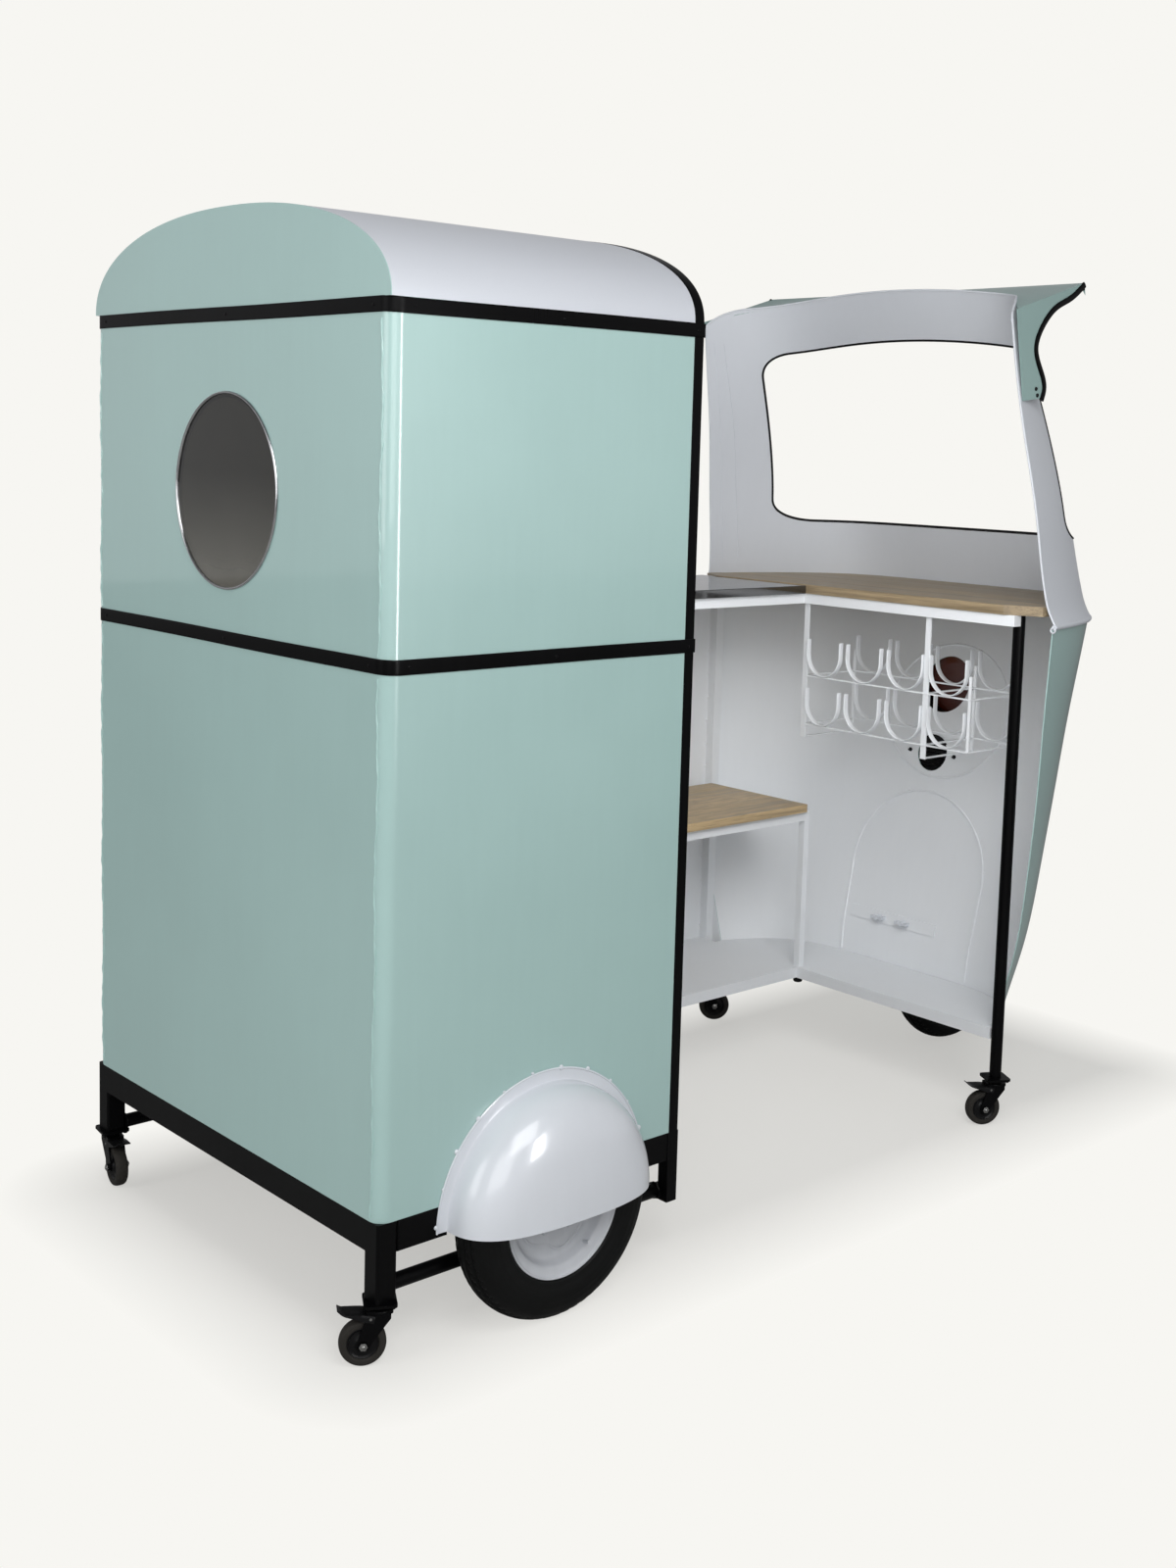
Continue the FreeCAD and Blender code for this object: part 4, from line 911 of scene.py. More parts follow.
@dataclass
class RoadWheel:
    """Tyre and pressed rim that turn together about Y."""

    label: str
    x: float
    y: float
    outward: float
    z: float = 203.0
    radius: float = 203.0
    width: float = 80.0
    rim: float = 125.0
    bore: float = 8.05
    bead: float = 31.2
    lip: float = 34.4
    ridge: float = 78.0
    nuts: float = 47.0
    valve: float = 103.0
    shoulder: float = 0.64
    crown_drop: float = 7.2
    groove_depth: float = 4.0
    groove_half: float = 1.6
    blocks: int = 60
    block_depth: float = 2.6
    # Shares of the section's height and half width: the sidewall and the hollow inside it
    wall: tuple = ((0.12, 0.93), (0.3, 0.99), (0.47, 1), (0.66, 0.95), (0.81, 0.82), (0.9, 0.66))
    hollow: tuple = ((0.3, -0.72), (0.68, -0.6), (0.82, 0), (0.68, 0.6), (0.3, 0.72))

    def tyre(self) -> None:
        """Tyre section with ribs and grooves turned round, its tread blocks cut by a wave along the turn."""
        size = np.array([self.radius - self.rim, self.width / 2])
        tall, half = size
        foot = np.array([self.rim, 0])
        seat, bead = self.rim - 13, 0.39 * self.width
        heel = [(seat, bead - 4), (self.rim, bead), (self.rim + 2, bead + 4)]
        side = smooth_line([*heel, *(foot + np.array(self.wall) * size)], 40)
        ribs = 0.8 * np.clip(np.sin((side[:, 0] - self.rim) * 0.55), 0.55, 1)
        side[:, 1] += ribs * (side[:, 0] > self.rim + 0.2 * tall) - 0.5
        edge = half * self.shoulder
        across = np.linspace(edge, -edge, 61)
        crown = self.radius - self.crown_drop * (np.abs(across) / edge) ** 2.2
        groove = np.minimum(np.abs(np.abs(across) - half * 0.16), np.abs(np.abs(across) - half * 0.5))
        crown -= self.groove_depth * np.clip(1.6 - groove / self.groove_half, 0, 1)
        profile = np.concatenate([side, np.stack([crown, across], axis=1), side[::-1] * (1, -1),
                                  [(seat, -bead * 0.55)], foot + np.array(self.hollow) * size,
                                  [(seat, bead * 0.55), (seat, bead - 4)]])
        centre, steps = np.array([self.x, self.y, self.z]), 240
        patch = lathe(profile, centre, Y_AXIS, steps)
        points = patch.points.reshape(steps + 1, -1, 3)
        ray = points - centre
        away = np.abs(ray[..., 1])
        turn = np.linspace(0, FULL, steps + 1)[:, None] + away * 0.006
        cut = np.clip(np.sin(turn * self.blocks) * 4 - 2.6, 0, 1)
        zone = (np.hypot(ray[..., 0], ray[..., 2]) > self.rim + 0.86 * tall) & (away > half * 0.2)
        points = points - unit(ray * (1, 0, 1)) * (self.block_depth * cut * zone)[..., None]
        patch.points = points.reshape(-1, 3)
        piece(self.label + "_tyre_tread", [patch], TYRE, None, self.label + "_wheel", self.label + "_tyre",
              angle=32)

    def hub(self) -> None:
        """Pressed rim: rolled lips, drop centre and a dished disc with a wavy ridge, nuts and a valve."""
        out = Y_AXIS * self.outward
        centre = np.array([self.x, self.y, self.z])
        seat, bead, lip = self.rim - 13, self.bead, self.lip
        disc = [(self.bore, 24), (20, 24), (27, 22.5), (30, 19), (30.5, 9), (36, 8), (52, 10.5), (62, 12.5),
                (72, 11.5), (82, 7.5), (90, 6.5), (97, 9), (101, 16), (104, 24), (110, 28), (117, 29.5), (120.5, 31),
                (122, lip - 0.6), (123.5, lip), (125, lip - 0.6), (125.3, bead + 0.6), (124.8, bead)]
        barrel = [(seat, bead - 4), (seat, 4 - bead), (125, -bead), (125, -lip), (122, -lip), (106, 4 - lip),
                  (106, -6), (30, 4), (30, -24), (self.bore, -24), (self.bore, 24)]
        patches = [lathe(np.concatenate([soften(disc, 2, 0.22), barrel]), centre, out, 128)]
        turn = np.linspace(0, FULL, 181)
        wavy = self.ridge + 7 * np.sin(turn * 4) + 2.5 * np.sin(turn * 8 + 0.8)
        rise = 9.2 - 0.16 * (wavy - self.ridge)
        path = centre + xyz(wavy * np.cos(turn), 0, wavy * np.sin(turn)) + out * rise[:, None]
        patches.append(sweep(path, circle(2.6, 8), out, True))
        for lean in np.radians(72 * np.arange(5) + 18):
            nut = centre + self.nuts * np.array([math.cos(lean), 0, math.sin(lean)])
            patches += [dome_head(nut + out * 9.5, out, 12.5, 2.0), hex_head(nut + out * 10, out, 8.5, 9),
                        dome_head(nut + out * 18.5, out, 4.5, 4)]
        spoke = np.array([0.6, 0, -0.8])
        valve = centre + spoke * self.valve
        patches.append(sweep(between(valve + out * 16, valve + out * 38 - spoke * 10, 8), circle(3.2, 10), X_AXIS))
        piece(self.label + "_rim_pressing", patches, RIM_WHITE, None, self.label + "_wheel", self.label + "_rim")

    def build(self) -> None:
        """Tyre and rim of the wheel."""
        self.tyre()
        self.hub()


@dataclass
class Fender:
    """Half of a spun white bowl with a flange on the side of the cabinet."""

    label: str
    side: Side
    x: float = 355.0
    z: float = 203.0
    face: float = 500.0
    wall: float = 214.5
    depth: float = 113.0
    flange: float = 21.5
    sheet: float = 1.5
    hem: float = 1.9
    spots: int = 12
    # Shares of the bowl's radius and depth
    bowl: tuple = ((1, 0.035), (0.993, 0.25), (0.965, 0.425), (0.91, 0.585), (0.826, 0.725), (0.705, 0.84),
                   (0.547, 0.92), (0.315, 0.982), (0, 1))

    def build(self) -> None:
        """Bowl profile turned through half a circle, with a rolled flange edge and spots of weld."""
        bowl = smooth_line(np.array(self.bowl) * (self.wall, self.depth), 49)
        edge = self.wall + self.flange
        foot = soften([(edge, 1.5), (self.wall + 5, 1.5), (self.wall + 0.4, 2.6), tuple(bowl[0])], 2, 0.25)
        profile = np.concatenate([foot[:-1], bowl])
        turn = np.linspace(0, HALF, 97)
        ray = xyz(np.cos(turn), 0, np.sin(turn))
        base = np.array([self.x, self.face * self.side.value, self.z])
        out = Y_AXIS * self.side.value
        points = base + ray[:, None] * profile[None, :, :1] + out * profile[None, :, 1:]
        dent = np.sin(points[..., 0] * 0.03) * np.sin(points[..., 2] * 0.041 + 1)
        points = points + out * (0.5 * dent * np.clip(profile[:, 1] / 40 - 0.3, 0, 1))[..., None]
        name = self.label + "_fender"
        piece("dressed_" + name, [grid(points, tuple(base - out * 60 - Z_AXIS * 30))], SPUN_WHITE,
              stands_for=name, wall=self.sheet, angle=60)
        spots = [sweep(base + ray * (edge - 0.6) + out * 1.6, circle(self.hem, 8), out)]
        for k, lean in enumerate(np.linspace(0.05, HALF - 0.05, self.spots)):
            tip = np.array([math.cos(lean), 0, math.sin(lean)])
            place = base + tip * (edge + 1 + 1.5 * math.sin(k * 2.3)) + out * 1.2
            spots.append(dome_head(place, out, 4.2 + 1.2 * math.sin(k * 1.7), 2.4))
        piece(self.label + "_fender_hem", spots, SPUN_WHITE)


# Castors


@dataclass
class Castor:
    """Braked swivel castor, drawn along U from its swivel axis and turned into place."""

    label: str
    x: float
    y: float
    degrees: float
    radius: float = 40.0
    half: float = 12.0
    trail: float = 28.0
    bore: float = 4.05
    cheek: float = 21.0
    pin_u: float = 16.0
    pin_z: float = 86.0
    pin_half: float = 19.5
    pin: float = 2.4
    pedal_sheet: float = 1.8

    def add(self, name: str, patches: list[Patch], finish: Finish, body: str, second: Finish | None = None,
            stands_for: str = "", **shape: float) -> None:
        """Piece turned about the swivel axis and moved to the leg.

        Args:
            name: name of the piece, to which the castor's label is added.
            patches: surfaces to join.
            finish: its finish.
            body: part of the castor that it moves with.
            second: its second finish.
            stands_for: CAD node that it replaces, without the label.
            shape: wall and angle of the piece.
        """
        lean = math.radians(self.degrees)
        spin = np.array([[math.cos(lean), -math.sin(lean), 0], [math.sin(lean), math.cos(lean), 0], [0, 0, 1]])
        for patch in patches:
            patch.points = patch.points @ spin.T + (self.x, self.y, 0)
        piece(f"{name}_{self.label}", patches, finish, second, f"castor_{body}_{self.label}",
              f"{stands_for}_{self.label}" if stands_for else "", **shape)

    def roller(self) -> None:
        """Wheel: grey rubber tread moulded on a dark core with a raised hub."""
        hub = (self.trail, 0, self.radius)
        w, r = self.half, self.radius
        tread = mirrored([(0.66 * r, w * 0.72), (0.7 * r, w * 0.97), (0.74 * r, w), (0.88 * r, w),
                          (0.95 * r, w * 0.86), (0.985 * r, w * 0.6), (r, w * 0.3)])
        core = mirrored([(self.bore, w + 1), (11, w + 1), (13, w * 0.8), (17, w * 0.62), (0.56 * r, w * 0.6),
                         (0.64 * r, w * 0.78), (0.67 * r, w * 0.74)])
        core = np.concatenate([core, core[:1]])
        patches = [lathe(soften(tread, 1), hub, Y_AXIS, 64), lathe(core, hub, Y_AXIS, 48, 1)]
        self.add("dressed_castor_wheel", patches, TREAD, "roller", PLASTIC, "castor_wheel")

    def hardware(self) -> None:
        """Bright axle bolt ends and a swivel race ring on the fork."""
        hub = np.array([self.trail, 0, self.radius])
        bolts = []
        for side in Side:
            out = Y_AXIS * side.value
            bolts += [hex_head(hub + out * self.cheek, out, 7.2, 2.2),
                      dome_head(hub + out * (self.cheek + 2), out, 3.9, 2.5)]
        self.add("castor_bolts", bolts, ZINC, "swivel")
        race = [(14.5, 92.9), (19, 93.1), (20.5, 95.5), (19, 98.2), (14.5, 98.5), (14.5, 92.9)]
        self.add("castor_race", [lathe(soften(race, 2), (0, 0, 0), Z_AXIS, 48)], BLACK, "swivel")

    def pedal(self) -> None:
        """Pressed brake pedal: a channel section carried along a curve that kicks up at its toe."""
        rows = np.arange(40)
        spine = smooth_line([(-8, 4.0), (8, 7.4), (24, 9.0), (38, 9.2), (48, 11.0), (54, 15.5)], 40)
        tilt = np.gradient(spine, axis=0)
        normal = unit(np.stack([-tilt[:, 1], tilt[:, 0]], axis=1))
        wide, drop = (np.interp(rows, [0, 12, 30, 39], sizes) for sizes in ([19.3, 19.3, 18.5, 12.0],
                                                                            [12.0, 12.0, 3.0, 0.6]))
        a = np.array([-1, -1, -0.97, -0.88, -0.45, 0, 0.45, 0.88, 0.97, 1, 1])
        b = np.array([-1, -0.5, -0.12, -0.02, 0, 0.03, 0, -0.02, -0.12, -0.5, -1])
        place = spine[:, None] + normal[:, None] * (drop[:, None] * b)[..., None]
        points = xyz(self.pin_u + place[..., 0], wide[:, None] * a, self.pin_z + place[..., 1])
        ends = [(self.pin_u, side.value * self.pin_half, self.pin_z) for side in Side]
        self.add("dressed_castor_pedal", [grid(points, (self.pin_u + 20, 0, self.pin_z - 40))], PLASTIC, "brake",
                 stands_for="castor_pedal", wall=self.pedal_sheet, angle=50)
        self.add("castor_pin", [sweep(between(*ends, 3), circle(self.pin, 12), Z_AXIS)], ZINC, "brake")

    def build(self) -> None:
        """All pieces of the castor."""
        self.roller()
        self.hardware()
        self.pedal()
        dress(BLACK, "castor_fork_" + self.label)


# Cab


@dataclass
class CurvedSheet:
    """Sheet over a boxy plan, where x = depth * (1 - |y / half| ** power) less a lean, from a table of levels."""

    x: float = 1755.5
    half: float = 553.0
    depth: float = 410.0
    power: float = 6.0
    sheet: float = 2.5
    low: float = 0.0
    high: float = 1.0
    # Share of the height, backward lean, shares of the half width and of the depth
    levels: tuple = ()

    def extent(self, z: Array, out: float = 0.0) -> Array:
        """Lean, half width and depth of the plan at a height, from a spline through the levels.

        Args:
            z: heights.
            out: distance outside the sheet's outer face.

        Returns:
            Lean, half width and depth along the last axis.
        """
        table = np.array(self.levels)
        share = spline(table[:, 0], table[:, 1:], (np.asarray(z, float) - self.low) / (self.high - self.low))
        return share * (1, self.half, self.depth) + np.array([0, out, out])

    def at(self, y: Array, z: Array, out: float = 0.0) -> Array:
        """Point of the sheet over y and z.

        Args:
            y: places across the bar.
            z: heights.
            out: distance outside the sheet's outer face.

        Returns:
            Points on the sheet, or set off from it.
        """
        raise NotImplementedError

    def outward(self, y: Array, z: Array) -> Array:
        """Direction out of the sheet at a point, from two sheets set apart."""
        return unit(self.at(y, z, 0.0) - self.at(y, z, -8.0) + np.array([1e-6, 0, 0]))


@dataclass
class CabNose(CurvedSheet):
    """Green nose shell with its lamp, horn, seams, bracket and front wheel guard."""

    low: float = 205.0
    high: float = 1155.0
    lamp_z: float = 945.0
    lamp_front: float = 389.5
    lamp: float = 71.0
    horn_z: float = 770.0
    horn: float = 45.0
    snap: float = 5.6
    # Middle and size of the lamp panel's seam, middle, radius and foot of the arch seam, and its tacks
    panel: tuple = (-20.0, 880.0, 185.0, 168.0)
    arch: tuple = (-12.0, 468.0, 206.0, 232.0)
    tacks: tuple = ((140, 609), (-70, 668), (-216, 505), (-212, 300), (190, 280), (50, 670))
    levels: tuple = ((0.0, 0, 0.79, 0.483), (0.1, 0, 0.84, 0.5), (0.2, 0, 0.885, 0.549), (0.4, 0, 0.93, 0.64),
                     (0.59, 0, 0.955, 0.73), (0.775, 0, 0.968, 0.842), (0.9, 0, 0.978, 0.93),
                     (1.0, 0, 0.987, 0.994))

    def at(self, y: Array, z: Array, out: float = 0.0) -> Array:
        """Point of the shell over y and z, at a distance outside it."""
        _, half, depth = np.moveaxis(self.extent(z, out), -1, 0)
        return xyz(self.x + depth * (1 - np.clip(np.abs(y) / half, 0, 1) ** self.power), y, z)

    def shell(self) -> None:
        """Grid over width and height with the lamp and horn holes, whose edge points move onto the circles."""
        z = np.linspace(self.low, self.high, 131)[:, None] * np.ones((1, 201))
        y = np.sin(np.linspace(-QUARTER, QUARTER, 201)) * self.extent(z[:, 0])[:, 1:2]
        gone = np.zeros(y.shape, bool)
        for centre, radius in ((self.lamp_z, self.lamp), (self.horn_z, self.horn)):
            away = np.hypot(y, z - centre)
            near = np.abs(away - radius) < self.snap
            pull = np.where(near, radius / np.maximum(away, 1e-6), 1.0)
            y, z = y * pull, centre + (z - centre) * pull
            gone |= (away < radius) & ~near
        patch = grid(self.at(y, z), (self.x, 0, 700))
        patch.faces = patch.faces[~gone.reshape(-1)[patch.faces].any(axis=1)]
        piece("dressed_nose_shell", [patch], MINT, WHITE, stands_for="nose_shell", wall=self.sheet)

    def seams(self) -> None:
        """Welded seams inside the nose: a ring round the lamp panel and an arch over the wheel."""
        turn, arc = np.linspace(0, FULL, 145), np.linspace(0, HALF, 60)
        panel_y, panel_z, wide, tall = self.panel
        arch_y, arch_z, r, foot = self.arch
        legs = np.linspace(foot, arch_z - 3, 30)
        leg_y = np.interp(legs, [foot, arch_z - 3], [r - 6, r])
        seams = (("panel", wide * np.cos(turn) + panel_y, panel_z + tall * np.sin(turn)),
                 ("arch", np.concatenate([leg_y, r * np.cos(arc), -leg_y[::-1]]) + arch_y,
                  np.concatenate([legs, arch_z + r * np.sin(arc), legs[::-1]])))
        for label, y, z in seams:
            for face, out, radius, finish in (("inside", -self.sheet - 0.6, 3.0, WHITE),
                                              ("outside", 0.3, 1.6, MINT)):
                bead = weld_line(self.at(y, z, out), radius, self.outward(y, z), label == "panel")
                piece(f"{label}_seam_{face}", [bead], finish)
        piece("arch_seam_tacks", [dome_head(self.at(y, z, -self.sheet), -self.outward(y, z), 4.0, 2.6)
                                  for y, z in self.tacks], WHITE)

    def screws(self) -> None:
        """Dark screws beside the lamp and the horn, on the inside."""
        heads = []
        for y, z in ((70, self.horn_z), (-70, self.horn_z), (86, self.lamp_z), (-86, self.lamp_z)):
            axis, foot = -self.outward(y, z), self.at(y, z, -self.sheet)
            shank = sweep(between(foot, foot + axis * 9, 4), circle(2.4, 10), Z_AXIS)
            heads += [hex_head(foot, axis, 5.5, 3.5), shank]
        piece("lamp_screws", heads, PLASTIC)

    def lamp_parts(self) -> None:
        """Chrome bezel round the amber lens, and a dark disc behind the horn grille."""
        bezel = [(68, -8), (72, -8.5), (80, -9), (84, -5), (84.5, 2), (82, 6), (77, 7), (72.5, 4), (70, 0), (68, -3),
                 (68, -8)]
        centre = (self.x + self.lamp_front, 0, self.lamp_z)
        piece("lamp_bezel", [lathe(soften(bezel, 2), centre, X_AXIS, 96)], CHROME)
        disc = [(0, -0.5), (48, -0.5), (48, 0.5), (0, 0.5)]
        baffle = lathe(disc, self.at(0.0, self.horn_z, 4.0), self.outward(0.0, self.horn_z), 64)
        piece("horn_baffle", [baffle], SEAL, slot="black_paint")
        dress(BLACK, "headlamp_housing", "horn_grille")
        dress(AMBER, "headlamp_lens")

    def build(self) -> None:
        """All pieces of the nose, and finishes for its plain CAD nodes."""
        for step in (self.shell, self.seams, self.screws, self.lamp_parts):
            step()
        dress(MINT, "front_mudguard")
        dress(BLACK, "nose_lip", "front_fork", "castor_plates")
        dress(WHITE, "wing_nut_bracket")
        # The wing nuts take the darker copy of the white enamel: painted shade.
        dress(SHADED_WHITE, "wing_nuts")


@dataclass
class WindscreenFrame(CurvedSheet):
    """White hoop over the nose with its bead, rubber edge and green visor."""

    low: float = 1165.0
    high: float = 1922.0
    crown: float = 45.0
    crown_half: float = 475.0
    corner: float = 74.0
    opening: float = 463.0
    taper: float = 0.89
    opening_low: float = 1347.0
    opening_high: float = 1808.0
    opening_round: float = 70.0
    centre_z: float = 1580.0
    hem: float = 2.6
    rubber_edge: float = 3.4
    bead: float = 6.2
    bead_z: float = 1160.0
    eye: float = 5.5
    press_low: float = 1240.0
    press_high: float = 1800.0
    visor_half: float = 480.0
    visor_sheet: float = 2.0
    # Ends and middles of the visor's two lines, its wing and bolts: ahead of the nose plane, above the hoop's top
    visor_root: tuple = ((-104.0, -70.0), (20.0, -12.0))
    visor_front: tuple = ((144.0, 5.0), (304.0, 22.0))
    wing_edge: tuple = ((95, -28), (43, -51), (-4, -92), (-28, -147), (-6, -194), (10, -232), (2, -258))
    wing_foot: tuple = (-66.0, -266.0)
    bolts: tuple = ((-20, -238), (-14, -252))
    levels: tuple = ((0.0, 0.0, 0.997, 1.003), (0.026, 1.0, 0.975, 0.994), (0.08, 6.0, 0.953, 0.98),
                     (0.31, 31.0, 0.922, 0.91), (0.575, 66.0, 0.879, 0.796), (0.78, 95.0, 0.859, 0.594),
                     (1.02, 121.0, 0.843, 0.404))

    def at(self, y: Array, z: Array, out: float = 0.0) -> Array:
        """Point of the hoop over y and z, at a distance outside it; y grows with that distance."""
        lean, half, depth = np.moveaxis(self.extent(z, out), -1, 0)
        share = np.clip(np.abs(y) / (half - out), 0, 1)
        return xyz(self.x - lean + depth * (1 - share ** self.power), np.sign(y) * share * half, z)

    def outer_line(self) -> Array:
        """Outline of the hoop in y and z: straight foot, sides, rounded corners and a crowned top."""
        arc = (self.crown_half ** 2 + self.crown ** 2) / (2 * self.crown)
        hub = self.high - arc
        side = self.crown_half - self.corner
        up = hub + math.sqrt((arc - self.corner) ** 2 - side ** 2)
        lean = math.asin(side / (arc - self.corner))
        z = np.linspace(self.low, up, 120)
        flank = np.stack([np.minimum(self.extent(z)[:, 1], np.where(z > up - 8, self.crown_half, 1e4)), z], axis=1)
        turn = np.linspace(0, QUARTER - lean, 24)
        bend = np.stack([side + self.corner * np.cos(turn), up + self.corner * np.sin(turn)], axis=1)
        sway = np.linspace(lean, -lean, 121)
        cap = np.stack([arc * np.sin(sway), hub + arc * np.cos(sway)], axis=1)
        right = np.concatenate([flank, bend[1:]])
        return np.concatenate([right, cap[1:-1], right[::-1] * (-1, 1)])

    def opening_line(self) -> Array:
        """Closed outline of the opening in y and z: a tapered box whose corners a moving average rounds."""
        wide, low, high = self.opening, self.opening_low, self.opening_high
        share = np.linspace(-1, 1, 41)
        cap = np.stack([-self.taper * wide * share, high - self.opening_round / 2 * share ** 2], axis=1)
        corners = np.concatenate([[(-wide, low), (wide, low)], cap, [(-wide, low)]])
        run = chord(corners)
        even = np.linspace(0, run[-1], 721)[:-1]
        line = np.stack([np.interp(even, run, corners[:, k]) for k in (0, 1)], axis=1)
        window = int(1.7 * self.opening_round / (run[-1] / 720))
        line = np.mean([np.roll(line, k - window // 2, axis=0) for k in range(window)], axis=0)
        return np.concatenate([line, line[:1]])

    def hoop(self) -> None:
        """Ring between the opening and the outline, both met by the same rays, laid on the curved plan."""
        outer = self.outer_line()
        outer = np.concatenate([outer, between(outer[-1], outer[0], 80)[1:-1]])
        corner = [math.atan2(self.low - self.centre_z, s * outer[0, 0]) for s in (-1, 1)]
        angle = np.unique(np.concatenate([np.linspace(-HALF, HALF, 481), corner]))
        reach = []
        for y, z in (self.opening_line().T, outer.T):
            lean, away = np.arctan2(z - self.centre_z, y), np.hypot(y, z - self.centre_z)
            order = np.argsort(lean)
            reach.append(np.interp(angle, lean[order], away[order], period=FULL)[:, None])
        length = reach[0] + (reach[1] - reach[0]) * np.sin(np.linspace(0, QUARTER, 19))
        y, z = np.cos(angle)[:, None] * length, self.centre_z + np.sin(angle)[:, None] * length
        # The hoop takes the darker copy of the white enamel: painted shade.
        piece("dressed_windscreen_hoop", [grid(self.at(y, z), (self.x, 0, 1500))], SHADED_WHITE,
              stands_for="windscreen_frame", wall=self.sheet, angle=50)

    def edges(self) -> None:
        """Rolled hem round the hoop, the bead under its skirt with an eye at each end, and pressed lines."""
        y, z = self.outer_line().T
        patches = [sweep(self.at(y, z, -1.2), circle(self.hem, 10), self.outward(y, z))]
        share = np.sin(np.linspace(-QUARTER, QUARTER, 121))
        half, depth = 0.987 * self.half + 2.5, 0.994 * self.depth + 2.5
        plan = xyz(self.x + depth * (1 - np.abs(share) ** self.power), half * share, self.bead_z)
        patches.append(sweep(plan, circle(self.bead, 14), Z_AXIS))
        ring = circle(self.eye, 24)
        for end in (plan[0], plan[-1]):
            eye = end + xyz(0, ring[:, 0], ring[:, 1]) - (4, 0, 6)
            patches.append(sweep(eye, circle(2.2, 8), X_AXIS, True))
        z = np.linspace(self.press_low, self.press_high, 60)
        for near in (0.984, 0.962):
            for side in Side:
                y = side.value * near * self.extent(z)[:, 1]
                patches.append(sweep(self.at(y, z, -self.sheet), circle(1.3, 8), self.outward(y, z)))
        # The hems take the darker copy of the white enamel: painted shade.
        piece("windscreen_hems", patches, SHADED_WHITE)

    def rubber(self) -> None:
        """Rubber edge strip: a round section carried round the opening."""
        y, z = self.opening_line().T
        bead = sweep(self.at(y, z, -1.2), circle(self.rubber_edge, 12), self.outward(y, z), True)
        piece("dressed_windscreen_rubber", [bead], SEAL, stands_for="windscreen_rubber")

    def visor(self) -> None:
        """Green visor ruled between two bowed lines, with a wing at each end and a black lip on the free edges.

        A bowed line goes from side to side with its middle ahead: end + (middle - end) * (1 - t * t).
        The panel starts where it leaves the hoop, and so does each wing.
        """
        t = np.linspace(-1, 1, 121)
        y = t * self.visor_half
        root, front = (np.array(end) + np.subtract(middle, end) * (1 - t * t)[:, None]
                       for end, middle in (self.visor_root, self.visor_front))
        share = np.linspace(0, 1, 301)[:, None]
        ahead, above = np.moveaxis(root + (front - root) * share[..., None], -1, 0)
        z = self.high + above
        outline = self.outer_line()[::-1]
        buried = (self.x + ahead < self.at(y, z)[..., 0]) & (z < np.interp(y, outline[:, 0], outline[:, 1]))
        first = np.where(buried, share, 0).max(axis=0)
        first = np.convolve(np.pad(first, 4, "edge"), np.ones(9) / 9, "valid")
        part = first + (1 - first) * np.linspace(0, 1, 24)[:, None]
        flat = root + (front - root) * part[..., None]
        panel = xyz(self.x + flat[..., 0], y, self.high + flat[..., 1])
        patches = [grid(panel, (self.x, 0, 0))]
        trims = [sweep(panel[-1] - (2.0, 0, 9.0), strip_profile(6.0, 16.0, 0.15), Z_AXIS)]
        edge = smooth_line([self.visor_front[0], *self.wing_edge], 60)
        back = between(self.visor_root[0], self.wing_foot, 60)
        height = self.high + back[:, 1]
        skin = self.at(self.visor_half, height)[:, 0] - self.x
        hidden = self.extent(height)[:, 1] > self.visor_half
        back[:, 0] = np.where(hidden, np.maximum(back[:, 0], skin), back[:, 0])
        fan = back[:, None] + (edge - back)[:, None] * np.linspace(0, 1, 16)[:, None]
        for side in Side:
            out = side.value * self.visor_half
            wing = xyz(self.x + fan[..., 0], out, self.high + fan[..., 1])
            patches.append(grid(wing, (self.x, 0, 1700)))
            path = xyz(self.x + edge[:, 0], out, self.high + edge[:, 1] - 4)
            trims.append(sweep(path, strip_profile(14.0, 6.0, 0.2), Y_AXIS))
        # The visor takes the darker copy of the mint enamel: painted shade.
        piece("dressed_sun_visor", patches, VISOR_SHADED_MINT, stands_for="sun_visor", wall=self.visor_sheet)
        piece("dressed_visor_trim", trims, BLACK, stands_for="visor_trim")

    def visor_bolts(self) -> None:
        """Two dark bolts at the foot of each visor wing, with a head on both faces."""
        heads = [dome_head((self.x + x, side.value * (self.visor_half + out), self.high + z),
                           Y_AXIS * side.value * face, 4.5, 3)
                 for side in Side for x, z in self.bolts for face, out in ((1, 0.5), (-1, -2.5))]
        piece("visor_bolts", heads, PLASTIC)

    def build(self) -> None:
        """All pieces of the frame."""
        for step in (self.hoop, self.edges, self.rubber, self.visor, self.visor_bolts):
            step()


